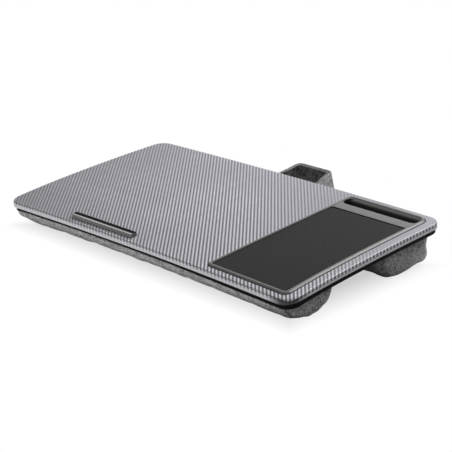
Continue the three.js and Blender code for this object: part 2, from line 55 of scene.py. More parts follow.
# Board and base panel
BOARD_CORNER_RADIUS = 19.5 * MM
EDGE_ROLL_RADIUS = 3 * MM
FILM_THICKNESS = 0.6 * MM
FILM_TRIM = 0.5 * MM  # of the film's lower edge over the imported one
FRONT_TRIM = 0.7 * MM  # further, along the front
RIGHT_TRIM = 1.8 * MM  # further, along the right towards the front
CORE_INSET = 9 * MM  # of the core's edge behind the film's
CORE_SINK = 0.2 * MM  # of the core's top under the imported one
CAMBER = 3.0 * MM  # that the board's corners hang under the middles of its sides
BOARD_SKEW = (0.1 * MM, -0.6 * MM)  # rise of its right and back edge
CORNER_SAG = np.array([[1.2, 0], [2.0, -0.8]]) * MM  # further: left and right corners, front and back
BASE_CORNER_RADIUS = 18 * MM
BASE_EDGE_RADIUS = 3 * MM
BASE_EASE = 0.4 * MM  # of the base panel's upper edge

# Tray insert
TRAY_CORNER_RADII = np.array([10, 16, 10, 10]) * MM  # from the front right one, anticlockwise
TRAY_GROWTH = (2.2 * MM, 1.5 * MM)  # to the right and to the front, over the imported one
TRAY_WALL = 1.2 * MM
TRAY_EASE = 0.6 * MM  # of the bar's edges
TRAY_GAP = 0.1 * MM  # from the rim's inner face to the recess and the slot
RIM_WIDTH = 5.5 * MM
RIM_SWELL = 0.3 * MM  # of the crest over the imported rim
RIM_SLOPE = math.radians(48)
RIM_CROWN_RADIUS = 0.8 * MM
RIM_OVERLAP = 2 * MM
RIM_EDGE_RADIUS = 0.5 * MM
RIM_BACK_LEAN = 0.9 * MM  # of the rim's inner face behind the slot
RIM_BACK_LENGTH = 4 * MM  # in front of that face, over which the lean comes in
RIM_FOOT_SHADE = np.array([[0.4], [1.0]])  # shares of the gap's shade on the inner face's last two rows
BEAD_WIDTH = 1.2 * MM  # of the bead round the rim, painted dark as the shade along the rim's foot
BEAD_HEIGHT = 0.42 * MM
BEAD_FOOT = 0.1 * MM  # of the bead over the film
BEAD_CREASE = 0.02 * MM  # between the bead and the rim's slope
BAR_DEPTH = 17.6 * MM
BAR_LEVEL = 1.3 * MM
SLOT_MOUTH = 21.8 * MM
SLOT_FLOOR = 10 * MM
SLOT_DEPTH = 12.7 * MM
SLOT_CORNER_RADIUS = 9.5 * MM
SLOT_BLUNTNESS = 2.2  # least ratio of the slot's width to its corner radius
SLOT_PAINTED_SHADE = (-1.0 * MM, 2.5 * MM)  # under the film, over which the slot's painted shade comes in
SLOT_END_SHADE = (2 * MM, 9 * MM)  # from the slot's ends, over which their shade goes
SLOT_RIGHT_SHORTER = 1.6  # times that the right end's shade is shorter than the left one's
PAD_CORNER_RADIUS = 4 * MM
PAD_RECESS = 3.2 * MM
PAD_EDGE_RADIUS = 0.5 * MM
PAD_CROWN = 0.25 * MM
PAD_GAP_SHADE = 0.6  # of the narrow gap round the pad
PAD_BACK_LENGTH = 6 * MM  # before the pad's back edge, over which that shade goes
BACKING_EDGE_RADIUS = 0.2 * MM

# Device ledge
LEDGE_LEAN = 1.5 * MM
LEDGE_SHIFT = (2.2 * MM, 4.5 * MM)  # of its front and its back edge, to the back
LEDGE_HEIGHT = 5.2 * MM
LEDGE_ASIDE = 4.2 * MM  # to the left
LEDGE_BEVEL_WIDTH = 1.4 * MM
LEDGE_BEVEL_HEIGHT = 0.9 * MM
LEDGE_BEVEL_ROWS = np.array([0, 0.06, 0.94, 1])  # up the bevel, close together at its edges
LEDGE_SHOULDER = 1.25  # bevel heights under the top, where the straight sides end
LEDGE_SIDE_BEVEL = 0.3  # share of the bevel at the ends and at the back
LEDGE_CORNER_RADIUS = 1.5 * MM
LEDGE_FOOT = 0.3 * MM

# Bolsters
BOLSTER_PRESS = 1.2 * MM  # of the crown, flattened on the floor
BOLSTER_GAP = 0.3 * MM  # under the base panel
FLOOR_GAP = 0.2 * MM
CELL = 3.6 * MM  # of the cloth
LIP_AT = np.array([-256, -244, 0, 70, 165, 215, 240]) * MM  # along the front bolster
LIP_HEIGHT = np.array([6.4, 7.2, 6.7, 6.3, 4.8, 4.0, 0.5]) * MM  # of its upper edge over the base's underside
SWELL_CAP = 3.5 * MM  # the most that the filling pushes the cloth out
SWELL_STEPS = 20
SEAM_SINK = 1.6 * MM
SEAM_WIDTH = 0.8 * CELL
SEAM_EASE = 4.0  # rows of cells to either side over which the cloth turns at a seam
LEFT_DRAW = 0.15  # share of the drawing in that the left end takes
LEFT_LIFT = 7 * MM  # of the front bolster's left end off the floor
LEFT_LIFT_LENGTH = 45 * MM
SPREAD_DOWN = ((0, 0.5, 1), (1, -0.2, 0.15))  # shares of the way down, and of the letting out there
PANEL_CORE = 0.12  # share of an end panel's outline that its last ring has
PANEL_POWERS = (2.5, 0.6)  # of an end panel's bulge
PANEL_TOP = 0.35  # share of the way down over which the bulge comes in
CREASE_SLANT = 0.7
CREASE_LENGTH = (12 * MM, 38 * MM)
CREASE_WIDTH = (2.4 * MM, 4.5 * MM)
CREASE_STRENGTH = (0.4, 1)
TUCK_INSIDE = 1 * MM  # from the seam to the tuck
TUCK_WIDTH = 9 * MM
TUCK_AT = 0.3  # share of the way round the section
TUCK_SPREAD = 0.1
HELD_COLUMNS = 4  # of cells beside the sewn edges, where seams and creases fade out
FRONT_FORM = {
    "squareness": (1.75, 2.25),  # powers of the section's front and back half
    "draw_in": (7 * MM, 0),  # of its upper front and back, at the seams
    "draw_up": (4.5 * MM, 0),  # of its left and right end off the floor
    "bulge": 5 * MM,  # of its end panels
    "lip": 1,  # share of the lip that stands up in front of the base panel
    "spread": (9 * MM, 0),  # of its back, all along and at the ends
    "arch": 5.6 * MM,  # of its middle off the floor
}
REAR_FORM = {
    "squareness": (3.4, 12),
    "draw_in": (1.5 * MM, 0),
    "draw_up": (1 * MM, 0.5 * MM),
    "bulge": 7 * MM,
    "lip": 0,
    "spread": (0, 6.5 * MM),
    "arch": 1 * MM,
}
FRONT_SEWING = {"creases": 12, "depth": 0.8 * MM, "tuck": 2.5 * MM, "seam_shade": 0.9, "seed": 3}
REAR_SEWING = {"creases": 14, "depth": 1.4 * MM, "tuck": 0, "seam_shade": 0.35, "seed": 8}

# Lining under the base panel
LINING_GAP = 0.3 * MM
LINING_SLACK = 0.9 * MM
LINING_RIPPLE = 0.075 * MM
LINING_RIPPLES = 9  # half waves along the sheet
LINING_RIPPLE_SLANT = 2
LINING_THICKNESS = 0.5 * MM

# Strap handle
STRAP_WIDTH = 30 * MM
STRAP_THICKNESS = 5 * MM
STRAP_RISE = math.radians(12)
STRAP_REACH = 46 * MM  # from the hinge line
STRAP_CORNERS = np.array([54, 39.6, 34, 31.6, -28.6, -33, -45, -57]) * MM  # X, from right to left
STRAP_BENDS = np.array([5, 30, 3.2, 9, 30, 5]) * MM  # radii at the corners between
STRAP_LEG_BENDS = (26 * MM, 19 * MM)  # of the right and the left leg, before the far side
STRAP_SEWN_GAP = 1.6 * MM  # behind the rear bolster
STRAP_SEWN_DROP = 0.8 * MM  # of its sewn ends' upper edge under the base panel
STRAP_FREE_FROM = 3 * MM  # inside the board's back edge, where it starts to stand free
STRAP_RISEN = 4 * MM  # behind the hinge line, where it has its whole rise
STRAP_EDGE_RADIUS = 0.9 * MM
LAYER_GAP = 0.15 * MM  # from the middle line to each layer
HEM_HEIGHT = 1.8 * MM
HEM_OUT = 0.6 * MM  # past the facing's face
HEM_IN = 1.3 * MM
STITCH_LENGTH = 3.2 * MM
STITCH_PITCH = 4.6 * MM
STITCH_RADIUS = 0.35 * MM
STITCH_INSET = 3.2 * MM  # from the strap's edges
STITCH_FULL = 0.42  # share of its length to either side of its middle, up to which a stitch has its whole girth

# Carbon twill
TOW_ACROSS = 1.543 * MM  # a tow's pitch along the board
TOW_BACK = 1.708 * MM  # a tow's pitch from front to back
TWILL_SHIFT = 3.3 * MM  # of the weave along the board
FILM_SLIP = 0.15  # share of the way round the edge that the film followed without stretching
FRONT_REACH_GAIN = 0.4  # further gain of the reach round the front and back edge, so the edge's painted shade and light come sooner
CORNER_REACH_LOSS = 0.38  # less gain, round the front right corner
FILM_TURN = (2.4 * MM, 3.4 * MM)  # round the edge, over which painted shade darkens the pattern on the turn
FILM_FLOOR_LIGHT = (6.5 * MM, 7.8 * MM, 0.0, 0.8)  # round the edge, over which painted light from the floor pales the film, and how far

# Tones of the film and of the light and shade painted into it: a ramp is where it starts and ends, in metres
# along the board or from front to back unless it says otherwise, and its value at either end, 0 and 1 if not
# given
LIGHT_TOWS = ((0.83, 0.825, 0.885, 1), (0.95, 0.945, 1.0, 1))  # the least and the most bright tow
DARK_TOWS = ((0.22, 0.215, 0.245, 1), (0.29, 0.285, 0.32, 1))
PAINTED_GLARE_FILM = ((0.43, 0.427, 0.465, 1), (0.5, 0.497, 0.54, 1))  # painted glare where reflection washes the pattern out, and at the right edge
# painted light from the floor, on the lower half of the edge
PAINTED_FLOOR_LIGHT = (0.62, 0.617, 0.65, 1)
# painted shade, low on the edge at the front right corner
PAINTED_SHADE_FILM = (0.02, 0.02, 0.022, 1)
# Painted sheen: the tows are brightened and dimmed by place on the board, as reflections would make them
LEFT_PAINTED_SHEEN = (-0.27, -0.03, 0.66, 1.0)  # painted sheen of the light tows, dimmer at the left
FRONT_PAINTED_SHEEN = (-0.14, -0.06)
FRONT_PAINTED_SHEEN_LEFT = (0.0, 0.07, 0.86, 1.0)
BACK_PAINTED_SHEEN = (0.03, 0.12)
BACK_PAINTED_SHEEN_RIGHT = (-0.16, -0.06, 1.0, 0.9)
# painted light on the dark tows, brighter at the left and darker at the right
DARK_TOW_PAINTED_LIGHT = (-0.27, 0.1, 1.1, 0.83)
TOW_EDGE_PAINTED_SHADE = (0.0, 0.5, 0.8, 1.0)  # painted shade up a tow's round, darkest at its edges
PAINTED_GLARE_CORNER = (0.11, 0.26, 0.95, 0.0)  # painted glare, from the right back corner
PAINTED_GLARE_BACK = (0.05, 0.14, 0.0, 0.4)
PAINTED_GLARE_BACK_RIGHT = (-0.1, 0.05)
PAINTED_GLARE_RIGHT = (0.2, 0.255)
# painted shade on the turn, deeper at the right than at the left
TURN_SHADE = (-0.2, 0.2, 0.92, 0.62)
PAINTED_SHADE_CORNER = (0.014, 0.036, 0.92, 0.0)  # painted shade low on the edge, from the front right corner

# Other finishes
MOULD_DRIFT = 0.14  # of a moulded tone to either side
GLOSS_DRIFT = 0.12
GRAIN_DRIFT = (0.3, 0.7)  # of the noise, from the least to the most gloss
RIB_TURN = math.radians(42)
RIB_PITCH = 4.6 * MM
WAVES_IN_UNIT = 3.2  # of the wave texture at a scale of 1, nearly
RIB_SHARE = 0.4  # of the ribs in the grey plastic's tone
RIB_HEIGHT = 0.6  # of the ribs, in heights of the grain
GREY_PLASTIC_TONES = ((0.28, 0.28, 0.277, 1), (0.37, 0.37, 0.363, 1))
SHADED_METALLIC = (0.0, 0.6, 0.3, 0.0)  # ramps over the shade in the tray
SHADED_ROUGHNESS = (0.0, 0.6, 0.3, 0.7)
SHADE_TONE = 0.004  # of the grey plastic in full shade
SEAM_TONE = 0.01  # of cloth in full shade
FIBRE_TONES = ((0.22, 0.14, 0.07, 1), (0.42, 0.29, 0.17, 1))
FLECK_DRIFT = 0.2  # share of the slow drift among the flecks of cloth
FLECK_RANGE = (0.4, 0.6)  # of the noise, from the dark to the light yarn

# Facets
CORNER_STEPS = 20
ROLL_STEPS = 14
SIDE_STEPS = 14  # along each straight side of the board
BOARD_RINGS = 14  # from the tray's hole to the board's edge
TRAY_STOPS = 9  # along the tray's sides
SLOT_ROWS = 13
PAD_RINGS = 12
SECTION_POINTS = 241  # round a bolster before it is laid out in cells
LINING_POINTS = (120, 30)
STRAP_POINTS = 190
WELD = 1e-6  # the widest gap between points that are joined
SHARP_ANGLE = 40  # degrees
LEDGE_SHARP_ANGLE = 20
CLOTH_SHARP_ANGLE = 60

# The board's frame: X to the right, Y to the back, Z out of the board, origin in the middle of its top


def node_points(node):
    """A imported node's vertices, one row each, in the row frame."""
    vertices = frame["nodes"][node].data.vertices
    flat = np.empty(3 * len(vertices), np.float32)
    vertices.foreach_get("co", flat)
    return flat.reshape(-1, 3).astype(float)


def board_axes():
    """Rows right, back and out: out is the direction in which the flat pad's points spread least."""
    points = node_points("mouse_pad")
    out = np.linalg.svd(points - points.mean(0), full_matrices=False)[2][2]
    out *= np.sign(out[2])
    right = np.array([1.0, 0.0, 0.0])
    return np.array([right, np.cross(out, right), out])


AXES = board_axes()
FILM_SPREAD = node_points("carbon_film") @ AXES.T
FILM_LOW = FILM_SPREAD.min(0)
FILM_HIGH = FILM_SPREAD.max(0)
ORIGIN = np.array([*(FILM_LOW + FILM_HIGH)[:2] / 2, FILM_HIGH[2]]) @ AXES


def to_row(points):
    """Points of the board's frame in the row frame."""
    return ORIGIN + np.asarray(points) @ AXES


def to_board(points):
    """Points of the row frame in the board's frame."""
    return (np.asarray(points) - ORIGIN) @ AXES.T


def place(node):
    """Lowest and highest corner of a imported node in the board's frame."""
    points = to_board(node_points(node))
    return points.min(0), points.max(0)


BOARD_LOW, BOARD_HIGH = place("carbon_film")
CORE_LOW, CORE_HIGH = place("board_core")
BASE_LOW, BASE_HIGH = place("base_panel")
TRAY_LOW, TRAY_HIGH = place("tray_insert")
PAD_LOW, PAD_HIGH = place("mouse_pad")
BACKING_LOW, BACKING_HIGH = place("pad_backing")
LEDGE_LOW, LEDGE_HIGH = place("device_ledge")
LINING_LOW, LINING_HIGH = place("under_lining")
for low, high in ((TRAY_LOW, TRAY_HIGH), (PAD_LOW, PAD_HIGH), (BACKING_LOW, BACKING_HIGH)):
    high[0] += TRAY_GROWTH[0]
    low[1] -= TRAY_GROWTH[1]
HINGE = to_board(np.array(frame["joints"][0]["pos_m"]))


def floor_level(y):
    """Height in the board's frame of the floor under a line at y."""
    return -(ORIGIN[2] + y * AXES[1, 2]) / AXES[2, 2]


def smooth(value, start, end):
    """0 before start, 1 after end, and 3t^2 - 2t^3 between."""
    t = np.clip((value - start) / (end - start), 0, 1)
    return t * t * (3 - 2 * t)


def cambered(points):
    """Points of the board let down towards its corners with the squares of x and y, each corner further with
    the square of x and the fourth power of y, and slightly skewed."""
    bent = np.array(points, float)
    u, v = np.clip(bent[..., :2] / BOARD_HIGH[:2], -1, 1).reshape(-1, 2).T.reshape(2, *bent.shape[:-1])
    sag = CAMBER + CORNER_SAG[(u > 0).astype(int), (v > 0).astype(int)] * v ** 2
    bent[..., 2] += BOARD_SKEW[0] * u + BOARD_SKEW[1] * v - sag * u ** 2 * v ** 2
    return bent


# Meshes from grids of points


def cells(rows, columns, wrap_rows, wrap_columns):
    """Corner indices of a grid's cells, four a row."""
    row = np.arange(rows if wrap_rows else rows - 1)[:, None]
    column = np.arange(columns if wrap_columns else columns - 1)[None]
    up = (row + 1) % rows
    on = (column + 1) % columns
    corners = [row * columns + column, row * columns + on, up * columns + on, up * columns + column]
    return np.stack([np.broadcast_to(c, np.broadcast_shapes(row.shape, column.shape)) for c in corners], -1)


def patch(points, wrap_rows=False, wrap_columns=False, uv=None, reach=None):
    """A grid of points in the board's frame, closed along rows or columns if asked, with its flat pattern and a
    value at each point, its reach: how far it lies round a rolled edge, or how deep in shade."""
    return {"points": np.asarray(points), "wrap": (wrap_rows, wrap_columns), "uv": uv, "reach": reach}


def grid_mesh(name, patches, sharp_angle):
    """One mesh of all patches, moved to the row frame, welded where their points meet, faces out."""
    points = np.concatenate([p["points"].reshape(-1, 3) for p in patches])
    faces = []
    start = 0
    for p in patches:
        rows, columns = p["points"].shape[:2]
        faces.append(cells(rows, columns, *p["wrap"]).reshape(-1, 4) + start)
        start += rows * columns
    faces = np.concatenate(faces)
    mesh = bpy.data.meshes.new(name)
    mesh.from_pydata(to_row(points).tolist(), [], faces.tolist())
    if all(p["uv"] is not None for p in patches):
        flat = np.concatenate([p["uv"].reshape(-1, 2) for p in patches])
        layer = mesh.uv_layers.new(name="flat")
        layer.data.foreach_set("uv", flat[faces.ravel()].astype(np.float32).ravel())
    if all(p["reach"] is not None for p in patches):
        reach = np.concatenate([p["reach"].ravel() for p in patches]).astype(np.float32)
        mesh.attributes.new("reach", "FLOAT", "POINT").data.foreach_set("value", reach)
    work = bmesh.new()
    work.from_mesh(mesh)
    bmesh.ops.remove_doubles(work, verts=work.verts, dist=WELD)
    bmesh.ops.dissolve_degenerate(work, edges=work.edges, dist=WELD)
    bmesh.ops.recalc_face_normals(work, faces=work.faces)
    work.to_mesh(mesh)
    work.free()
    mesh.shade_smooth()
    mesh.set_sharp_from_angle(angle=math.radians(sharp_angle))
    return mesh


def piece(name, patches, finish, stands_for=(), body="desk", sharp_angle=SHARP_ANGLE):
    """A new piece of the object from grids, in its finish, on its body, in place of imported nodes."""
    mesh = grid_mesh(name, patches, sharp_angle)
    mesh.materials.append(finish)
    obj = bpy.data.objects.new(name, mesh)
    bpy.context.scene.collection.objects.link(obj)
    if body:
        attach(obj, body)
    if stands_for:
        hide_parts(*stands_for)
    return obj


def solidify(obj, thickness):
    """A wall of one thickness behind a piece's faces."""
    wall = obj.modifiers.new("wall", "SOLIDIFY")
    wall.thickness = thickness
    wall.offset = -1
    wall.use_even_offset = True


def subdivide(obj):
    """A piece's faces cut in four once, and smoothed."""
    finer = obj.modifiers.new("finer", "SUBSURF")
    finer.levels = 1
    finer.render_levels = 1


def rounded_loop(low, high, radii, stops=(), steps=0):
    """Points and outward directions round a rectangle, anticlockwise from its front right corner: a quarter
    circle at each corner, radii in that order, stops, levels of y at which both sides have a point, and even
    steps along each straight side."""
    turn = np.linspace(0, math.pi / 2, CORNER_STEPS + 1)
    sides = np.array([[1, -1], [1, 1], [-1, 1], [-1, -1]])
    edges = np.where(sides > 0, high[:2], low[:2])
    turns = [turn + (corner - 1) * math.pi / 2 for corner in range(4)]
    outs = [np.stack([np.cos(angle), np.sin(angle)], 1) for angle in turns]
    arcs = [edge - side * radius + radius * out for edge, side, radius, out in zip(edges, sides, radii, outs)]
    points = []
    outward = []
    for corner in range(4):
        points.append(arcs[corner])
        outward.append(outs[corner])
        if corner % 2 == 0 and len(stops):
            levels = np.array(stops if corner == 0 else stops[::-1])
            points.append(np.stack([np.full(len(levels), edges[corner][0]), levels], 1))
            outward.append(np.tile([sides[corner][0], 0.0], (len(levels), 1)))
        if steps:
            share = np.linspace(0, 1, steps + 2)[1:-1, None]
            points.append((1 - share) * arcs[corner][-1] + share * arcs[(corner + 1) % 4][0])
            outward.append(np.tile(outs[corner][-1], (steps, 1)))
    return np.concatenate(points), np.concatenate(outward)


def sweep(loop, profile):
    """A profile of (outset, height) rows carried round a loop: every point moves out by the outset."""
    points, out = loop
    outset, height = np.asarray(profile, float).T
    plan = points + outset[:, None, None] * out
    return np.concatenate([plan, np.broadcast_to(height[:, None, None], plan.shape[:2] + (1,))], 2)


def level_ring(points, height):
    """One row of a grid: plan points at a height."""
    return np.concatenate([points, np.full((len(points), 1), height)], 1)[None]


def rings_between(inner, outer, height, count):
    """Rows of a grid from one loop's plan to another's, evenly, at a height."""
    share = np.linspace(0, 1, count)[:, None, None]
    plan = inner + share * (outer - inner)
    return np.concatenate([plan, np.full(plan.shape[:2] + (1,), height)], 2)


def pole(ring):
    """A row that draws a ring together in its middle."""
    return np.broadcast_to((ring.min(1, keepdims=True) + ring.max(1, keepdims=True)) / 2, ring.shape)


def arc(centre, radius, start, end, steps=ROLL_STEPS):
    """(outset, height) rows of a circle from one angle to another, in degrees from outwards to up."""
    angle = np.radians(np.linspace(start, end, steps + 1))
    return np.stack([centre[0] + radius * np.cos(angle), centre[1] + radius * np.sin(angle)], 1)


# Shader nodes


def add(tree, kind, inputs=(), **settings):
    """A node with its settings; inputs are values, or sockets to link, by socket name or number."""
    node = tree.nodes.new(kind)
    for key, value in settings.items():
        setattr(node, key, value)
    for key, value in dict(inputs).items():
        if isinstance(value, bpy.types.NodeSocket):
            tree.links.new(value, node.inputs[key])
        else:
            node.inputs[key].default_value = value
    return node


def maths(tree, operation, *values):
    """The result of a Math node on values or sockets."""
    return add(tree, "ShaderNodeMath", dict(enumerate(values)), operation=operation).outputs[0]


def mixed(tree, factor, first, second):
    """A colour between two, by a factor."""
    inputs = {"Factor": factor, 6: first, 7: second}
    return add(tree, "ShaderNodeMix", inputs, data_type="RGBA").outputs[2]


def times(tree, colour, factor):
    """A colour darkened by a factor."""
    inputs = {"Factor": 1.0, 6: colour, 7: factor}
    return add(tree, "ShaderNodeMix", inputs, data_type="RGBA", blend_type="MULTIPLY").outputs[2]


def ranged(tree, value, low, high, to_low=0.0, to_high=1.0):
    """A value moved from one range to another, clamped."""
    inputs = {"Value": value, "From Min": low, "From Max": high, "To Min": to_low, "To Max": to_high}
    return add(tree, "ShaderNodeMapRange", inputs).outputs["Result"]


def inverted(tree, value):
    """1 minus a value."""
    return maths(tree, "SUBTRACT", 1.0, value)


def blended(tree, share, first, second):
    """A share of one value and the rest of another."""
    return maths(tree, "MULTIPLY_ADD", first, share, maths(tree, "MULTIPLY", second, 1 - share))


def apart(tree, vector):
    """A vector's X, Y and Z."""
    return add(tree, "ShaderNodeSeparateXYZ", {0: vector}).outputs


def distance(tree, vector, point):
    """How far a vector's point lies from another."""
    return add(tree, "ShaderNodeVectorMath", {0: vector, 1: point}, operation="DISTANCE").outputs["Value"]


def reach_of(tree):
    """The value at a piece's points: how far they lie round an edge, or how deep in shade."""
    return add(tree, "ShaderNodeAttribute", attribute_name="reach").outputs["Fac"]


def noise(tree, vector, scale, **settings):
    """Noise of a scale between 0 and 1."""
    return add(tree, "ShaderNodeTexNoise", {"Vector": vector, "Scale": scale, **settings}).outputs[0]


def bumps(tree, vector, scale, **settings):
    """Heights of rounded cells of a scale."""
    inputs = {"Vector": vector, "Scale": scale, **settings}
    cell = add(tree, "ShaderNodeTexVoronoi", inputs, feature="SMOOTH_F1")
    return inverted(tree, cell.outputs["Distance"])


def grey(level):
    """A linear colour of one level."""
    return (level, level, level, 1)


def group(name, sizes, outputs):
    """A new node group with a vector, the named sizes and the named float outputs: its tree, what it is given,
    and a function that links its results in the outputs' order."""
    tree = bpy.data.node_groups.new(name, "ShaderNodeTree")
    tree.interface.new_socket("Vector", in_out="INPUT", socket_type="NodeSocketVector")
    for socket in sizes:
        tree.interface.new_socket(socket, in_out="INPUT", socket_type="NodeSocketFloat")
    for socket in outputs:
        tree.interface.new_socket(socket, in_out="OUTPUT", socket_type="NodeSocketFloat")
    given = tree.nodes.new("NodeGroupInput").outputs
    result = tree.nodes.new("NodeGroupOutput").inputs

    def finish(*values):
        for value, socket in zip(values, outputs):
            tree.links.new(value, result[socket])
        return tree

    return tree, given, finish


def heather_group():
    """Mixed-yarn cloth: light and dark flecks a yarn wide, drifts of tone, and a nubby surface."""
    tree, given, finish = group("heather", ["Yarn"], ["Fleck", "Height"])
    scale = maths(tree, "DIVIDE", 1.0, given["Yarn"])
    fleck = noise(tree, given["Vector"], scale, Detail=3.0, Roughness=0.7)
    drift = noise(tree, given["Vector"], maths(tree, "MULTIPLY", scale, 0.17), Detail=2.0)
    nub = bumps(tree, given["Vector"], maths(tree, "MULTIPLY", scale, 1.6))
    return finish(ranged(tree, blended(tree, FLECK_DRIFT, drift, fleck), *FLECK_RANGE), nub)


def grain_group():
    """Leather-like grain: rounded cells of one size with creases between, and a slow drift of tone."""
    tree, given, finish = group("grain", ["Cell"], ["Height", "Drift"])
    scale = maths(tree, "DIVIDE", 1.0, given["Cell"])
    drift = noise(tree, given["Vector"], maths(tree, "MULTIPLY", scale, 0.4), Detail=4.0, Roughness=0.65)
    return finish(bumps(tree, given["Vector"], scale, Smoothness=0.6), drift)


def twill_group():
    """2/2 twill: over is 1 where the lengthways tow lies on top, which is where the sum of the two tow numbers,
    modulo 4, is under 2, so that the floats step along diagonals; height rounds each tow; tow is a random value
    of its own for each tow."""
    tree, given, finish = group("twill", [], ["Over", "Height", "Tow"])
    x, y = apart(tree, given["Vector"])[:2]
    across = maths(tree, "DIVIDE", maths(tree, "SUBTRACT", x, TWILL_SHIFT), TOW_ACROSS)
    back = maths(tree, "DIVIDE", y, TOW_BACK)
    across_number = maths(tree, "FLOOR", across)
    back_number = maths(tree, "FLOOR", back)
    phase = maths(tree, "FLOORED_MODULO", maths(tree, "ADD", across_number, back_number), 4.0)
    over = maths(tree, "LESS_THAN", phase, 1.5)

    def on_top(lengthways, crossways):
        difference = maths(tree, "SUBTRACT", lengthways, crossways)
        return maths(tree, "MULTIPLY_ADD", over, difference, crossways)

    crown = on_top(maths(tree, "PINGPONG", across, 0.5), maths(tree, "PINGPONG", back, 0.5))
    number = on_top(across_number, back_number)
    shade = add(tree, "ShaderNodeTexWhiteNoise", {"W": number}, noise_dimensions="1D")
    return finish(over, maths(tree, "SQRT", maths(tree, "MULTIPLY", crown, 2.0)), shade.outputs["Value"])


HEATHER = heather_group()
GRAIN = grain_group()
TWILL = twill_group()


def material(name, roughness, metallic=0.0, **plain):
    """A new material, its tree, its Principled shader with the plain values set on it, and its coordinates."""
    made = bpy.data.materials.new(name)
    made.use_nodes = True
    tree = made.node_tree
    tree.nodes.clear()
    shader = add(tree, "ShaderNodeBsdfPrincipled", {"Roughness": roughness, "Metallic": metallic, **plain})
    output = add(tree, "ShaderNodeOutputMaterial")
    tree.links.new(shader.outputs[0], output.inputs[0])
    return made, tree, shader, add(tree, "ShaderNodeTexCoord").outputs


def bump(tree, shader, height, depth, strength=1.0):
    """A shader's surface raised by a height of 0 to 1, to a depth."""
    node = add(tree, "ShaderNodeBump", {"Height": height, "Distance": depth, "Strength": strength})
    tree.links.new(node.outputs[0], shader.inputs["Normal"])


def placed_group(tree, node_tree, vector, size=None):
    """The outputs of a node group on coordinates, with its one size if it has one."""
    node = tree.nodes.new("ShaderNodeGroup")
    node.node_tree = node_tree
    tree.links.new(vector, node.inputs[0])
    if size:
        node.inputs[1].default_value = size
    return node.outputs


def carbon_film_finish():
    """Silver-grey twill under a satin clear film. The pattern was laid flat on the sheet before it was wrapped;
    painted shade darkens it on the turn, painted floor light pales the lower half of the edge, painted glare
    evens it to grey towards the right back corner, painted sheen leaves it less bright towards the left, and
    painted shade darkens it low at the front right."""
    made, tree, shader, coordinates = material("carbon_film", roughness=0.36, metallic=0.22)
    flat = coordinates["UV"]
    twill = placed_group(tree, TWILL, flat)
    along, back = apart(tree, flat)[:2]
    reach = reach_of(tree)

    # Painted sheen and light over the tows, by place on the board
    front_painted_sheen = ranged(tree, back, *FRONT_PAINTED_SHEEN, ranged(tree, along, *FRONT_PAINTED_SHEEN_LEFT), 1.0)
    back_painted_sheen = ranged(tree, back, *BACK_PAINTED_SHEEN, 1.0, ranged(tree, along, *BACK_PAINTED_SHEEN_RIGHT))
    painted_sheen = maths(tree, "MULTIPLY", ranged(tree, along, *LEFT_PAINTED_SHEEN),
                   maths(tree, "MULTIPLY", front_painted_sheen, back_painted_sheen))
    light = times(tree, mixed(tree, twill["Tow"], *LIGHT_TOWS), painted_sheen)
    dark = times(tree, mixed(tree, twill["Tow"], *DARK_TOWS), ranged(tree, along, *DARK_TOW_PAINTED_LIGHT))
    # The tows take painted shade towards their edges
    woven = times(tree, mixed(tree, twill["Over"], dark, light), ranged(tree, twill["Height"], *TOW_EDGE_PAINTED_SHADE))

    turned = ranged(tree, reach, *FILM_TURN)
    # Painted glare: the pattern gives way to an even pale grey towards the right back corner, but not on the
    # turn
    painted_glare_back = maths(tree, "MULTIPLY", ranged(tree, back, *PAINTED_GLARE_BACK), ranged(tree, along, *PAINTED_GLARE_BACK_RIGHT))
    painted_glare_corner = ranged(tree, distance(tree, flat, (*BOARD_HIGH[:2], 0)), *PAINTED_GLARE_CORNER)
    painted_glare = maths(tree, "MULTIPLY", maths(tree, "MAXIMUM", painted_glare_corner, painted_glare_back), inverted(tree, turned))
    printed = mixed(tree, painted_glare, woven, mixed(tree, ranged(tree, along, *PAINTED_GLARE_RIGHT), *PAINTED_GLARE_FILM))
    # Painted shade on the turn
    painted_turn_shade = maths(tree, "MULTIPLY", turned, inverted(tree, ranged(tree, along, *TURN_SHADE)))
    printed = times(tree, printed, inverted(tree, painted_turn_shade))
    # Painted light from the floor, on the lower half of the edge
    colour = mixed(tree, ranged(tree, reach, *FILM_FLOOR_LIGHT), printed, PAINTED_FLOOR_LIGHT)
    # Painted shade low on the edge at the front right corner
    to_corner = distance(tree, flat, (BOARD_HIGH[0], BOARD_LOW[1], 0))
    painted_corner_shade = maths(tree, "MULTIPLY", turned, ranged(tree, to_corner, *PAINTED_SHADE_CORNER))
    tree.links.new(mixed(tree, painted_corner_shade, colour, PAINTED_SHADE_FILM), shader.inputs["Base Color"])
    bump(tree, shader, twill["Height"], depth=0.12 * MM, strength=0.5)
    return made


def moulded(name, level, roughness, cell, depth, **plain):
    """Moulded plastic: a fine spark-eroded grain and a slight drift of tone and gloss."""
    made, tree, shader, coordinates = material(name, roughness, **plain)
    grain = placed_group(tree, GRAIN, coordinates["Object"], cell)
    colour = mixed(tree, grain["Drift"], grey(level * (1 - MOULD_DRIFT)), grey(level * (1 + MOULD_DRIFT)))
    tree.links.new(colour, shader.inputs["Base Color"])
    least, most = roughness * (1 - GLOSS_DRIFT), roughness * (1 + GLOSS_DRIFT)
    gloss = ranged(tree, grain["Drift"], *GRAIN_DRIFT, least, most)
    tree.links.new(gloss, shader.inputs["Roughness"])
    bump(tree, shader, grain["Height"], depth)
    return made


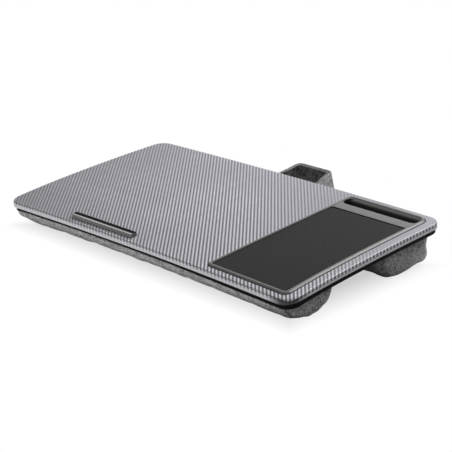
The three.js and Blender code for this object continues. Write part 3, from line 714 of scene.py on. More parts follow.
def grey_plastic_finish():
    """Silver-grey moulded plastic with faint diagonal ribs pressed into it, painted dark and matt where its
    reach marks shade.
    """
    made, tree, shader, coordinates = material("grey_plastic", roughness=0.34, metallic=0.3,
                                               **{"Specular IOR Level": 0.3})
    place_of = coordinates["Object"]
    turned = add(tree, "ShaderNodeMapping", {"Vector": place_of, "Rotation": (0, 0, RIB_TURN)})
    wave = {"Vector": turned.outputs[0], "Scale": 1 / RIB_PITCH / WAVES_IN_UNIT}
    ribs = add(tree, "ShaderNodeTexWave", wave, wave_profile="SIN", bands_direction="X").outputs["Fac"]
    grain = placed_group(tree, GRAIN, place_of, size=0.5 * MM)
    plastic = mixed(tree, blended(tree, RIB_SHARE, ribs, grain["Drift"]), *GREY_PLASTIC_TONES)
    shade = reach_of(tree)
    # Painted shade from the reach: darker, less metallic and matt
    tree.links.new(mixed(tree, shade, plastic, grey(SHADE_TONE)), shader.inputs["Base Color"])
    tree.links.new(ranged(tree, shade, *SHADED_METALLIC), shader.inputs["Metallic"])
    tree.links.new(ranged(tree, shade, *SHADED_ROUGHNESS), shader.inputs["Roughness"])
    bump(tree, shader, maths(tree, "MULTIPLY_ADD", ribs, RIB_HEIGHT, grain["Height"]), depth=0.05 * MM)
    return made


def two_tone(name, node_tree, tone, size, dark, light, depth, roughness, strength=1.0, shaded=False, **plain):
    """A finish that runs from a dark to a light tone with one output of a node group and is raised by its
    height; if shaded, it darkens with its points' reach."""
    made, tree, shader, coordinates = material(name, roughness, **plain)
    pattern = placed_group(tree, node_tree, coordinates["Object"], size)
    colour = mixed(tree, pattern[tone], dark, light)
    if shaded:
        colour = mixed(tree, reach_of(tree), colour, grey(SEAM_TONE))
    tree.links.new(colour, shader.inputs["Base Color"])
    bump(tree, shader, pattern["Height"], depth, strength)
    return made


def cloth(name, dark, light, yarn=2.0 * MM, roughness=0.95):
    """Heathered polyester: dark and light yarns mixed, nubby, with a soft sheen."""
    soft = {"Sheen Weight": 0.25, "Sheen Roughness": 0.5, "Specular IOR Level": 0.2}
    return two_tone(name, HEATHER, "Fleck", yarn, grey(dark), grey(light), depth=0.35 * MM, roughness=roughness,
                    strength=0.7, shaded=True, **soft)


CARBON_FILM = carbon_film_finish()
BLACK_PLASTIC = moulded("black_plastic", level=0.004, roughness=0.6, cell=0.5 * MM, depth=0.02 * MM,
                        **{"Specular IOR Level": 0.1})
GREY_PLASTIC = grey_plastic_finish()
LEATHERETTE = two_tone("leatherette", GRAIN, "Drift", 1.3 * MM, grey(0.0165), grey(0.057), depth=0.16 * MM,
                       roughness=0.62, **{"Specular IOR Level": 0.35})
GLOSS_BLACK = moulded("gloss_black", level=0.006, roughness=0.18, cell=0.7 * MM, depth=0.004 * MM, IOR=2.0)
FOAM = moulded("foam", level=0.02, roughness=0.95, cell=0.6 * MM, depth=0.2 * MM)
BOLSTER_FABRIC = cloth("bolster_fabric", dark=0.11, light=0.56)
LINING_FABRIC = cloth("lining_fabric", dark=0.006, light=0.02, yarn=1.0 * MM)
STRAP_FABRIC = cloth("strap_fabric", dark=0.11, light=0.58)
# The strap's fabric darkened with painted shade, for the facing inside the loop
STRAP_FABRIC_PAINTED_SHADE = cloth("strap_fabric_painted_shade", dark=0.012, light=0.24)
THREAD = cloth("thread", dark=0.10, light=0.20, yarn=0.4 * MM, roughness=0.7)
FIBREBOARD = two_tone("fibreboard", HEATHER, "Fleck", 1.2 * MM, *FIBRE_TONES, depth=0.2 * MM, roughness=0.9)
STEEL = two_tone("screw_steel", GRAIN, "Drift", 0.8 * MM, grey(0.48), grey(0.66), depth=0.02 * MM,
                 roughness=0.32, metallic=1.0)


# Board: film, core and base panel


def board_hole():
    """Plan of the hole in which the tray sits."""
    return rounded_loop(TRAY_LOW + RIM_OVERLAP, TRAY_HIGH - RIM_OVERLAP, TRAY_CORNER_RADII - RIM_OVERLAP,
                        steps=SIDE_STEPS)[0]


def lengths_along(points):
    """The way along a row of points, from 0 at the first."""
    return np.concatenate([[0], np.cumsum(np.linalg.norm(np.diff(points, axis=0), axis=1))])


def carbon_film():
    """The film: a flat face round the tray's hole, a quarter-round roll along the edge and a straight skirt,
    as one sheet of even thickness. The sheet is stretched over the edge: the flat pattern of a rolled point
    lies little further out than the point itself."""
    edge = rounded_loop(BOARD_LOW, BOARD_HIGH, [BOARD_CORNER_RADIUS] * 4, steps=SIDE_STEPS)
    outline, outward = edge
    hole = board_hole()
    start = outline - EDGE_ROLL_RADIUS * outward
    skirt = BOARD_LOW[2] + FILM_TRIM
    centre = (-EDGE_ROLL_RADIUS, -EDGE_ROLL_RADIUS)
    outside = np.concatenate([arc(centre, EDGE_ROLL_RADIUS, 90, 0), [[0, skirt]]])
    inside = np.concatenate([[[-FILM_THICKNESS, skirt]], arc(centre, EDGE_ROLL_RADIUS - FILM_THICKNESS, 0, 90)])
    profile = np.concatenate([outside, inside])
    upper = rings_between(hole, start, 0, BOARD_RINGS)[:-1]
    under = rings_between(start, hole, -FILM_THICKNESS, BOARD_RINGS)[1:]
    rolled = sweep(edge, profile)
    facing_front = np.maximum(-outward[:, 1], 0) ** 2
    facing_right = np.maximum(outward[:, 0], 0) ** 2
    to_front = np.maximum(-outline[:, 1] / BOARD_HIGH[1], 0) ** 2
    trim = FRONT_TRIM * facing_front + RIGHT_TRIM * facing_right * to_front
    rolled[len(outside) - 1:len(outside) + 1, :, 2] += trim
    rows = np.concatenate([upper, rolled, under])
    reach = np.concatenate([lengths_along(outside), lengths_along(inside[::-1])[::-1]])
    plan = EDGE_ROLL_RADIUS + profile[:, 0]
    drawn_out = plan + FILM_SLIP * (reach - plan)
    flat = np.concatenate([upper[..., :2], start + drawn_out[:, None, None] * outward, under[..., :2]])
    level = np.zeros(BOARD_RINGS - 1)
    corner = 4 * np.prod(outward, 1) ** 2 * (outline @ [1, -1] > BOARD_HIGH[0])
    # The reach carries the edge's painted shade and light; it comes sooner round the front and back edge
    reach_gain = (1 + FRONT_REACH_GAIN * outward[:, 1] ** 2) * (1 - CORNER_REACH_LOSS * corner)
    down = np.concatenate([level, reach, level])[:, None] * reach_gain
    film = patch(cambered(rows), True, True, flat, down)
    return piece("board_film", [film], CARBON_FILM, ["carbon_film"])


def board_core():
    """The core: a plate under the film, round the tray's hole."""
    edge = rounded_loop(BOARD_LOW + CORE_INSET, BOARD_HIGH - CORE_INSET, [BOARD_CORNER_RADIUS - CORE_INSET] * 4,
                        steps=SIDE_STEPS)[0]
    hole = board_hole()
    rows = np.concatenate([rings_between(hole, edge, CORE_HIGH[2] - CORE_SINK, BOARD_RINGS),
                           rings_between(edge, hole, CORE_LOW[2], BOARD_RINGS)])
    return piece("board_slab", [patch(cambered(rows), True, True)], FIBREBOARD, ["board_core"])


def base_panel():
    """The base panel: a round-cornered plate, its lower edge rolled and its upper edge eased."""
    edge = rounded_loop(BASE_LOW, BASE_HIGH, [BASE_CORNER_RADIUS] * 4, steps=SIDE_STEPS)
    low, high = BASE_LOW[2], BASE_HIGH[2]
    profile = np.concatenate([
        arc((-BASE_EASE, high - BASE_EASE), BASE_EASE, 90, 0, steps=4),
        arc((-BASE_EDGE_RADIUS, low + BASE_EDGE_RADIUS), BASE_EDGE_RADIUS, 0, -90),
    ])
    rings = sweep(edge, profile)
    middle = pole(rings[:1])[0, :, :2]
    upper = rings_between(middle, rings[0, :, :2], high, BOARD_RINGS)[:-1]
    under = rings_between(rings[-1, :, :2], middle, low, BOARD_RINGS)[1:]
    rows = cambered(np.concatenate([upper, rings, under]))
    return piece("base_shell", [patch(rows, False, True)], BLACK_PLASTIC, ["base_panel"])


# Tray insert


def rim_profile(top):
    """(outset, height) rows of the rim in three parts: the skirt and the bead, which carries painted shade, the
    slope and the crown, and the inner edge and face."""
    bead = [[-RIM_OVERLAP, BOARD_LOW[2]], [-RIM_OVERLAP, BEAD_FOOT], [0, BEAD_FOOT],
            [-BEAD_FOOT, BEAD_HEIGHT - BEAD_FOOT], [-3 * BEAD_FOOT, BEAD_HEIGHT], [-BEAD_WIDTH, BEAD_HEIGHT]]
    crease = [[-BEAD_WIDTH - BEAD_CREASE, BEAD_HEIGHT]]
    slope_top = top - RIM_CROWN_RADIUS * (1 - math.cos(RIM_SLOPE))
    slope_in = BEAD_WIDTH + (slope_top - BEAD_HEIGHT) / math.tan(RIM_SLOPE)
    centre = (-slope_in - RIM_CROWN_RADIUS * math.sin(RIM_SLOPE), top - RIM_CROWN_RADIUS)
    crown = arc(centre, RIM_CROWN_RADIUS, 90 - math.degrees(RIM_SLOPE), 90, steps=6)
    inner = arc((RIM_EDGE_RADIUS - RIM_WIDTH, top - RIM_EDGE_RADIUS), RIM_EDGE_RADIUS, 90, 180, steps=5)
    return bead, np.concatenate([crease, crown]), np.concatenate([inner, [[-RIM_WIDTH, BAR_LEVEL]]])


def slot_walls(low, high):
    """Rows of the slot's walls from the mouth down: its width grows with the square of height."""
    rows = []
    for rise in np.linspace(1, 0, SLOT_ROWS):
        width = SLOT_FLOOR + (high[1] - low[1] - SLOT_FLOOR) * rise ** 2
        radius = min(SLOT_CORNER_RADIUS, width / SLOT_BLUNTNESS)
        ring = rounded_loop(low, [high[0], low[1] + width], [radius] * 4)[0]
        rows.append(level_ring(ring, (1 - rise) * -SLOT_DEPTH + rise * (BAR_LEVEL - TRAY_EASE)))
    return np.concatenate(rows)


def pit(low, high, radii, stops, hole, rows):
    """One half of the bar's level, from its outline to a hole with an eased edge, and the rows under it."""
    outline = level_ring(rounded_loop(low, high, radii, stops)[0], BAR_LEVEL)
    eased = sweep(hole, arc((TRAY_EASE, BAR_LEVEL - TRAY_EASE), TRAY_EASE, 90, 180, steps=4))
    return np.concatenate([outline, eased, rows])


def tray_insert():
    """The tray as one closed moulding: a crowned rim that slopes down to a bead on the film, a skirt
    under it, a flat bar between the pad's recess and the phone slot, the slot's walls, and the underside with
    the slot's shell. Painted shade is 1 on the bead and deep in the slot."""
    opening_low = (TRAY_LOW + RIM_WIDTH)[:2]
    opening_high = (TRAY_HIGH - RIM_WIDTH)[:2]
    slot_front = opening_high[1] - SLOT_MOUTH
    pad_back = slot_front - BAR_DEPTH
    middle = (slot_front + pad_back) / 2
    top = TRAY_HIGH[2] + RIM_SWELL
    levels = np.linspace(TRAY_LOW[1] + 3 * TRAY_CORNER_RADII[0], middle, TRAY_STOPS)
    edge = rounded_loop(TRAY_LOW, TRAY_HIGH, TRAY_CORNER_RADII, levels)
    bead, slope, inner = rim_profile(top)
    outside = sweep(edge, np.concatenate([bead, slope, inner]))
    wall = outside[-len(inner):]
    at_back = smooth(wall[..., 1], opening_high[1] - RIM_BACK_LENGTH, opening_high[1])
    wall[..., 1] += RIM_BACK_LEAN * at_back * (wall[..., 2] - BAR_LEVEL) / (top - BAR_LEVEL)
    radii = TRAY_CORNER_RADII - RIM_WIDTH
    square = 0.01 * MM

    recess = rounded_loop(opening_low + TRAY_GAP, [opening_high[0] - TRAY_GAP, pad_back],
                          [PAD_CORNER_RADIUS] * 4, levels[:-1])
    floor = level_ring(recess[0], -PAD_RECESS)
    front = pit(opening_low, np.array([opening_high[0], middle]), [radii[0], square, square, radii[3]],
                levels[:-1], recess, np.concatenate([floor, pole(floor)]))

    slot_low = np.array([opening_low[0] + TRAY_GAP, slot_front])
    slot_high = opening_high - TRAY_GAP
    walls = slot_walls(slot_low, slot_high)
    mouth = rounded_loop(slot_low, slot_high, [SLOT_CORNER_RADIUS] * 4)
    back = pit(np.array([opening_low[0], middle]), opening_high, [square, radii[1], radii[2], square], (),
               mouth, np.concatenate([walls, pole(walls[-1:])]))

    shell = rounded_loop(slot_low - TRAY_WALL, slot_high + TRAY_WALL - TRAY_GAP, [SLOT_CORNER_RADIUS] * 4,
                         np.linspace(slot_front + SLOT_MOUTH / 3, slot_front + SLOT_MOUTH / 2, TRAY_STOPS))
    box = sweep(shell, [[-TRAY_WALL, BOARD_LOW[2]], [-TRAY_WALL, -SLOT_DEPTH - TRAY_WALL]])
    under = np.concatenate([outside[:1], box, pole(box[-1:])])

    behind_pad, behind_wall = (smooth(rows[..., 1], pad_back - PAD_BACK_LENGTH, pad_back)
                               for rows in (front, wall[-2:]))
    rim_shade = np.zeros(outside.shape[:2])
    # The bead is painted dark as shade
    rim_shade[:len(bead)] = 1
    rim_shade[-2:] = PAD_GAP_SHADE * (1 - behind_wall) * RIM_FOOT_SHADE
    deep = front[..., 2] < BAR_LEVEL - 0.9 * TRAY_EASE
    pad_shade = PAD_GAP_SHADE * (1 - behind_pad) + behind_pad * deep
    to_end = np.minimum(back[..., 0] - slot_low[0], SLOT_RIGHT_SHORTER * (slot_high[0] - back[..., 0]))
    at_end = 1 - smooth(to_end, *SLOT_END_SHADE)
    slot_shade = np.maximum(smooth(-back[..., 2], *SLOT_PAINTED_SHADE),
                            at_end * smooth(-back[..., 2], -BAR_LEVEL, TRAY_EASE - BAR_LEVEL))
    shades = (rim_shade, pad_shade, slot_shade, np.ones(under.shape[:2]))
    patches = [patch(cambered(rows), False, True, reach=shade)
               for rows, shade in zip((outside, front, back, under), shades)]
    return piece("tray_shell", patches, GREY_PLASTIC, ["tray_insert"])


def padded_plate(name, low, high, edge_radius, crown, finish, node):
    """A thin pad: straight sides, a rounded upper edge and a top that crowns as 1 - s^2 towards its middle."""
    stops = np.linspace(low[1] + 2 * PAD_CORNER_RADIUS, high[1] - 2 * PAD_CORNER_RADIUS, TRAY_STOPS)
    edge = rounded_loop(low, high, [PAD_CORNER_RADIUS] * 4, stops)
    rounded = arc((-edge_radius, high[2] - edge_radius), edge_radius, 0, 90, steps=6)
    rings = sweep(edge, np.concatenate([[[0, low[2]]], rounded]))
    middle = pole(rings[-1:])
    share = np.linspace(1, 0, PAD_RINGS)[1:, None, None]
    top = middle + share * (rings[-1:] - middle)
    top[..., 2] += crown * (1 - share[..., 0] ** 2)
    rows = cambered(np.concatenate([pole(rings[:1]), rings, top]))
    pad = piece(name, [patch(rows, False, True)], finish, [node])
    return pad


# Device ledge


def device_ledge():
    """A bar: rings of a round-cornered oblong, its front leaning back with height and its top edge bevelled."""
    low, high = LEDGE_LOW.copy(), LEDGE_HIGH.copy()
    low[1] += LEDGE_SHIFT[0]
    high[1] += LEDGE_SHIFT[1]
    low[0] -= LEDGE_ASIDE
    high[0] -= LEDGE_ASIDE
    heights = np.concatenate([[LEDGE_FOOT, LEDGE_HEIGHT - LEDGE_SHOULDER * LEDGE_BEVEL_HEIGHT],
                              LEDGE_HEIGHT - LEDGE_BEVEL_HEIGHT * (1 - LEDGE_BEVEL_ROWS)])
    insets = np.concatenate([[0, 0], LEDGE_BEVEL_WIDTH * LEDGE_BEVEL_ROWS])
    rings = []
    for height, inset in zip(heights, insets):
        lean = LEDGE_LEAN * height / LEDGE_HEIGHT
        aside = LEDGE_SIDE_BEVEL * inset
        ring_low = np.array([low[0] + aside, low[1] + lean + inset])
        ring_high = np.array([high[0] - aside, high[1] - aside])
        radius = LEDGE_CORNER_RADIUS - inset / 2
        rings.append(level_ring(rounded_loop(ring_low, ring_high, [radius] * 4)[0], height))
    rings = np.concatenate(rings)
    rows = cambered(np.concatenate([pole(rings[:1]), rings, pole(rings[-1:])]))
    return piece("ledge_bar", [patch(rows, False, True)], GLOSS_BLACK, ["device_ledge"],
                 sharp_angle=LEDGE_SHARP_ANGLE)


# Bolsters


def even_rows(points, count):
    """Each row of points laid out again at equal steps along its own length."""
    steps = np.linalg.norm(np.diff(points, axis=1), axis=2)
    length = np.concatenate([np.zeros((len(points), 1)), np.cumsum(steps, 1)], 1)
    wanted = np.linspace(0, 1, count) * length[:, -1:]
    return np.stack([
        np.stack([np.interp(w, at, row[:, axis]) for axis in range(3)], 1)
        for w, at, row in zip(wanted, length, points)
    ])


def bolster_rest(node, squareness, draw_in, draw_up, bulge, lip, spread, arch):
    """The sewn cover and its end panels as one grid: rows run from panel to panel along X, columns round the
    section from the front edge down and up to the back edge. The section is half a superellipse, its front and
    back halves of two powers, its upper part drawn in towards the seams with the sixth power of x, less on the
    left, its back let out with the third, and arched off the floor in the middle with the square; a panel's
    rings shrink to its top middle and bulge."""
    low, high = place(node)
    high[1] += spread[0]
    seam = high[0]
    top = BASE_LOW[2] - BOLSTER_GAP
    centre = (low[1] + high[1]) / 2
    half = (high[1] - low[1]) / 2
    drop = top - floor_level(centre) + BOLSTER_PRESS
    x = np.linspace(-seam, seam, int(2 * seam / CELL) + 1)
    drawn = (np.abs(x / seam) ** 6 * np.where(x < 0, LEFT_DRAW, 1))[:, None]
    angle = np.linspace(0, math.pi, SECTION_POINTS)
    power = 2 / np.where(angle < math.pi / 2, *squareness)
    across = -np.sign(np.cos(angle)) * np.abs(np.cos(angle)) ** power
    down = np.sin(angle) ** power
    drawn_in = np.where(across < 0, *draw_in) * drawn * (1 - down)
    left_end = lip * LEFT_LIFT * smooth(-x, seam - LEFT_LIFT_LENGTH, seam)
    lifted = (np.interp(x, [-seam, seam], draw_up) + arch * (1 - (x / seam) ** 2) + left_end)[:, None]
    let_out = spread[1] * np.interp(down, *SPREAD_DOWN) * np.maximum(across, 0)
    section_y = centre + (half - drawn_in) * across + let_out * np.abs(x / seam)[:, None] ** 3
    section_z = top - (drop - lifted) * down
    lip_top = top + lip * np.interp(x, LIP_AT, LIP_HEIGHT)
    section_y = np.concatenate([section_y[:, :1], section_y], 1)
    section_z = np.concatenate([lip_top[:, None], section_z], 1)
    dense = np.stack([np.broadcast_to(x[:, None], section_y.shape), section_y, section_z], 2)
    girth = np.linalg.norm(np.diff(dense[len(x) // 2], axis=0), axis=1).sum()
    cover = even_rows(dense, int(girth / CELL) + 1)
    middle = np.array([0, centre, top])
    share = np.linspace(1, PANEL_CORE, int(half / CELL))[1:, None, None]
    fullness = (1 - share[..., 0] ** PANEL_POWERS[0]) ** PANEL_POWERS[1]
    panels = []
    for side, ring in ((-1, cover[:1]), (1, cover[-1:])):
        rings = middle + share * (ring - middle)
        under = smooth((top - rings[..., 2]) / drop, 0, PANEL_TOP)
        rings[..., 0] = side * (seam + bulge * fullness * under)
        panels.append(rings)
    left, right = panels
    grid = np.concatenate([left[::-1], cover, right])
    hung = np.clip(1 - (top - grid[..., 2]) / drop, 0, 1)
    grid[..., 2] += hung * (cambered(grid) - grid)[..., 2]
    return grid, (len(left), len(left) + len(cover) - 1)


def swollen(grid):
    """The grid's points after its filling has pushed the cloth out: a pressure simulation with the sewn upper
    edges held, with no gravity, of cloth cut a little larger than its shape."""
    rows, columns = grid.shape[:2]
    mesh = bpy.data.meshes.new("cloth")
    mesh.from_pydata(to_row(grid).reshape(-1, 3).tolist(), [],
                     cells(rows, columns, False, False).reshape(-1, 4).tolist())
    obj = bpy.data.objects.new("cloth", mesh)
    bpy.context.scene.collection.objects.link(obj)
    number = np.arange(rows * columns).reshape(rows, columns)
    held = obj.vertex_groups.new(name="held")
    held.add(number[:, [0, -1]].ravel().tolist(), 1.0, "REPLACE")
    sim = obj.modifiers.new("cloth", "CLOTH")
    settings = sim.settings
    settings.vertex_group_mass = "held"
    settings.quality = 6
    settings.mass = 0.2
    settings.tension_stiffness = 12
    settings.compression_stiffness = 12
    settings.shear_stiffness = 4
    settings.bending_stiffness = 0.3
    settings.use_pressure = True
    settings.uniform_pressure_force = 4
    settings.shrink_min = -0.02
    settings.effector_weights.gravity = 0
    sim.collision_settings.use_collision = False
    sim.point_cache.frame_start = 1
    sim.point_cache.frame_end = SWELL_STEPS
    for step in range(1, SWELL_STEPS + 1):
        bpy.context.scene.frame_set(step)
    shaped = obj.evaluated_get(bpy.context.evaluated_depsgraph_get())
    flat = np.empty(3 * rows * columns, np.float32)
    shaped.data.vertices.foreach_get("co", flat)
    bpy.context.scene.frame_set(1)
    bpy.data.objects.remove(obj)
    return to_board(flat.reshape(rows, columns, 3).astype(float))


def settled(grid, rest):
    """Cloth moved no further than the cap from its rest."""
    move = grid - rest
    length = np.linalg.norm(move, axis=2, keepdims=True)
    return rest + move * SWELL_CAP / (SWELL_CAP + length)


def eased_seams(grid, seams, rounds):
    """Cloth turning smoothly from cover to end panel: near a seam each point moves half-way to the mean of its
    neighbours along X, many times over."""
    row = np.arange(len(grid))[1:-1, None, None]
    near = sum(np.exp(-((row - seam) / SEAM_EASE) ** 2) for seam in seams)
    for _ in range(rounds):
        grid[1:-1] += near * 0.5 * ((grid[:-2] + grid[2:]) / 2 - grid[1:-1])
    return grid


def gathered(grid, seams, creases, depth, tuck, seam_shade, seed):
    """Cloth drawn in along the seam rows, creases that run from the seams, each a valley of depth and width
    along a short line across the seam, placed at random round the section, and a tuck low in front beside each
    seam; and how far each point lies in the shade of a seam or tuck."""
    rows, columns = grid.shape[:2]
    column = np.arange(columns)[None]
    across = column * CELL
    centre = grid[:, [0, -1]].mean(1, keepdims=True)
    inward = centre - grid
    inward[..., 0] = 0
    inward /= np.maximum(np.linalg.norm(inward, axis=2, keepdims=True), 1e-9)
    chance = np.random.default_rng(seed)
    sink = np.zeros((rows, columns))
    shade = np.zeros((rows, columns))
    for seam in seams:
        away = (np.arange(rows)[:, None] - seam) * CELL
        stitched = np.exp(-(away / SEAM_WIDTH) ** 2)
        sink += SEAM_SINK * stitched
        shade += seam_shade * stitched
        for _ in range(creases):
            start = chance.uniform(0, columns * CELL)
            slant = chance.uniform(-CREASE_SLANT, CREASE_SLANT)
            length = chance.uniform(*CREASE_LENGTH)
            width = chance.uniform(*CREASE_WIDTH)
            line = (across - start - slant * away) / math.hypot(1, slant)
            valley = np.exp(-(line / width) ** 2 - (away / length) ** 2)
            sink += depth * chance.uniform(*CREASE_STRENGTH) * valley
        inside = away * (1 if seam > rows / 2 else -1) + TUCK_INSIDE
        low_front = (across / (columns * CELL) - TUCK_AT) / TUCK_SPREAD
        folded = np.exp(-(inside / TUCK_WIDTH) ** 2 - low_front ** 2)
        sink += tuck * folded
        shade += seam_shade * folded
    free = smooth(np.minimum(column, columns - 1 - column), 0, HELD_COLUMNS)
    return grid + inward * (sink * free)[..., None], np.minimum(shade, 1)


def on_floor(grid):
    """Cloth no lower than the floor."""
    row = to_row(grid)
    row[..., 2] = np.maximum(row[..., 2], FLOOR_GAP)
    return to_board(row)


def bolster(name, form, sewing, ease_rounds):
    """A stuffed bolster: its cover and end panels, swollen, settled, eased and gathered at the end seams."""
    nodes = [f"{name}_cover", f"{name}_fill", f"{name}_end_left", f"{name}_end_right"]
    rest, seams = bolster_rest(nodes[0], **form)
    grid = settled(swollen(rest), rest)
    grid, shade = gathered(eased_seams(grid.copy(), seams, ease_rounds), seams, **sewing)
    grid = on_floor(grid)
    poles = [np.broadcast_to(grid[i][[0, -1]].mean(0), grid[i].shape)[None] for i in (0, -1)]
    closed = np.concatenate([poles[0], grid, poles[1]])
    cover = patch(closed, reach=np.pad(shade, ((1, 1), (0, 0))))
    top = np.stack([closed[:, 0], closed[:, -1]], 1)
    lid = patch(top, reach=np.zeros(top.shape[:2]))
    obj = piece(name, [cover, lid], BOLSTER_FABRIC, nodes, sharp_angle=CLOTH_SHARP_ANGLE)
    subdivide(obj)
    return obj


# Lining under the base panel


def lining():
    """A stretched sheet of non-woven cloth between the bolsters: between its stapled edges it hangs slack by a
    half wave each way, slightly rippled along its length."""
    x, y = (np.linspace(LINING_LOW[axis], LINING_HIGH[axis], LINING_POINTS[axis]) for axis in (0, 1))
    size = LINING_HIGH - LINING_LOW
    u = ((x - LINING_LOW[0]) / size[0])[None]
    v = ((y - LINING_LOW[1]) / size[1])[:, None]
    slack = np.sin(math.pi * u) * np.sin(math.pi * v)
    ripple = np.sin(LINING_RIPPLES * math.pi * u + LINING_RIPPLE_SLANT * v) * np.sin(math.pi * v)
    z = LINING_HIGH[2] - LINING_GAP - (LINING_SLACK + LINING_RIPPLE * ripple) * slack
    points = np.stack([*np.meshgrid(x, y), z], 2)
    obj = piece("underside_lining", [patch(cambered(points))], LINING_FABRIC, ["under_lining"])
    solidify(obj, LINING_THICKNESS)
    return obj


# Strap handle


def filleted(corners, radii, steps=8):
    """A polyline whose inner corners are replaced by arcs of the given radii."""
    corners = np.asarray(corners, float)
    path = [corners[:1]]
    for before, corner, after, radius in zip(corners, corners[1:], corners[2:], radii):
        a = (before - corner) / np.linalg.norm(before - corner)
        b = (after - corner) / np.linalg.norm(after - corner)
        half = math.acos(np.clip(a @ b, -1, 1)) / 2
        reach = radius / math.tan(half)
        middle = corner + (a + b) / np.linalg.norm(a + b) * radius / math.sin(half)
        start = corner + a * reach - middle
        end = corner + b * reach - middle
        total = math.acos(np.clip(start @ end / radius ** 2, -1, 1))
        t = np.linspace(0, 1, steps + 1)[:, None]
        path.append(middle + (np.sin((1 - t) * total) * start + np.sin(t * total) * end) / math.sin(total))
    path.append(corners[-1:])
    return np.concatenate(path)


def strap_path():
    """The strap's middle line in plan, evenly stepped: sewn flat behind the rear bolster, out along one flared
    leg, across, and back along the other. The right far corner is folded, the left one bent."""
    far = HINGE[1] + STRAP_REACH - STRAP_THICKNESS / 2
    sewn = place("rear_bolster_cover")[1][1] + STRAP_SEWN_GAP
    right_bend, left_bend = far - np.array(STRAP_LEG_BENDS)
    back = [sewn, sewn, right_bend, far, far, left_bend, sewn, sewn]
    path = filleted(np.stack([STRAP_CORNERS, back], 1), STRAP_BENDS)
    path = np.concatenate([path, np.zeros((len(path), 1))], 1)
    return even_rows(path[None], STRAP_POINTS)[0, :, :2]


def strap_frames(path):
    """At each step of the strap: its direction, its outward side, and its lower and upper edge."""
    along = np.gradient(path, axis=0)
    along /= np.linalg.norm(along, axis=1, keepdims=True)
    out = np.stack([along[:, 1], -along[:, 0]], 1)
    free = smooth(path[:, 1], BOARD_HIGH[1] - STRAP_FREE_FROM, HINGE[1])
    lower = np.full(len(path), HINGE[2] - STRAP_WIDTH / 2)
    sewn = BASE_LOW[2] - STRAP_SEWN_DROP
    return along, out, lower, sewn + free * (HINGE[2] + STRAP_WIDTH / 2 - sewn)


def raised(points):
    """Points of the strap turned up about the hinge line, wholly past it and not at all at the bolster."""
    y = points[..., 1] - HINGE[1]
    z = points[..., 2] - HINGE[2]
    angle = STRAP_RISE * smooth(points[..., 1], BOARD_HIGH[1] - STRAP_FREE_FROM, HINGE[1] + STRAP_RISEN)
    turned = points.copy()
    turned[..., 1] = HINGE[1] + y * np.cos(angle) - z * np.sin(angle)
    turned[..., 2] = HINGE[2] + y * np.sin(angle) + z * np.cos(angle)
    return turned


def strap_layer(name, path, inner, outer, finish, band=None):
    """One layer of the strap between two offsets from its middle line: a rounded rectangle carried along it, of
    the strap's whole height or a band under its upper edge."""
    _, out, lower, upper = strap_frames(path)
    lower = upper - band if band else lower
    edge = STRAP_EDGE_RADIUS
    ring = []
    for number, (side, level) in enumerate([(1, 0), (1, 1), (-1, 1), (-1, 0)]):
        centre = (outer - edge if side > 0 else inner + edge, -edge if level else edge)
        offset, height = arc(centre, edge, 90 * number - 90, 90 * number, steps=4).T
        ring.append(np.stack([offset, np.full(len(offset), level), height], 1))
    offset, level, height = np.concatenate(ring).T
    plan = path[:, None] + offset[None, :, None] * out[:, None]
    z = lower[:, None] * (1 - level) + upper[:, None] * level + height
    rows = raised(np.concatenate([plan, z[..., None]], 2))
    rows = np.concatenate([pole(rows[:1]), rows, pole(rows[-1:])])
    return piece(name, [patch(rows, False, True)], finish, body=None,
                 sharp_angle=CLOTH_SHARP_ANGLE)


def strap_stitches(path):
    """Rows of stitches near both edges of both faces: rounded bars along the strap."""
    along, out, lower, upper = strap_frames(path)
    step = np.linalg.norm(np.diff(path, axis=0), axis=1).mean()
    at = np.arange(3, len(path) - 4, STITCH_PITCH / step).astype(int)
    turn = np.linspace(0, 2 * math.pi, 7)[:-1]
    length = np.array([-0.5, -STITCH_FULL, STITCH_FULL, 0.5]) * STITCH_LENGTH
    girth = np.array([0.0, 1.0, 1.0, 0.0]) * STITCH_RADIUS
    patches = []
    for face in (STRAP_THICKNESS / 2, -STRAP_THICKNESS / 2):
        for z in (lower[at] + STITCH_INSET, upper[at] - STITCH_INSET):
            middle = path[at] + face * out[at]
            for centre, height, direction, side in zip(middle, z, along[at], out[at]):
                line = centre + length[:, None] * direction
                plan = line[:, None] + girth[:, None, None] * (np.cos(turn)[None, :, None] * side)
                tall = height + girth[:, None] * np.sin(turn)[None]
                patches.append(patch(raised(np.concatenate([plan, tall[..., None]], 2)), False, True))
    return piece("handle_stitches", patches, THREAD, body=None)


def strap_handle():
    """The strap: two layers sewn together, bending from the desk to the swinging loop across the hinge line."""
    path = strap_path()
    half = STRAP_THICKNESS / 2
    pieces = [
        strap_layer("handle_strap", path, LAYER_GAP, half, STRAP_FABRIC),
        # The facing is in the strap's fabric with painted shade
        strap_layer("handle_facing", path, -half, -LAYER_GAP, STRAP_FABRIC_PAINTED_SHADE),
        strap_layer("handle_hem", path, -half - HEM_OUT, -half + HEM_IN, STRAP_FABRIC, HEM_HEIGHT),
        strap_stitches(path),
    ]
    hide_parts("handle_loop", "handle_tab_left", "handle_tab_right")
    for obj in pieces:
        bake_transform(obj)
    return pieces


carbon_film()
board_core()
base_panel()
tray_insert()
padded_plate("mouse_pad_face", PAD_LOW, PAD_HIGH, PAD_EDGE_RADIUS, PAD_CROWN, LEATHERETTE,
             "mouse_pad")
padded_plate("mouse_pad_foam", BACKING_LOW, BACKING_HIGH, BACKING_EDGE_RADIUS, 0, FOAM, "pad_backing")
device_ledge()
bolster("front_bolster", FRONT_FORM, FRONT_SEWING, ease_rounds=5)
bolster("rear_bolster", REAR_FORM, REAR_SEWING, ease_rounds=4)
lining()
strap_handle()

for screw in frame["nodes"].values():
    if screw.hide_render:
        continue
    screw.data.materials.clear()
    screw.data.materials.append(STEEL)


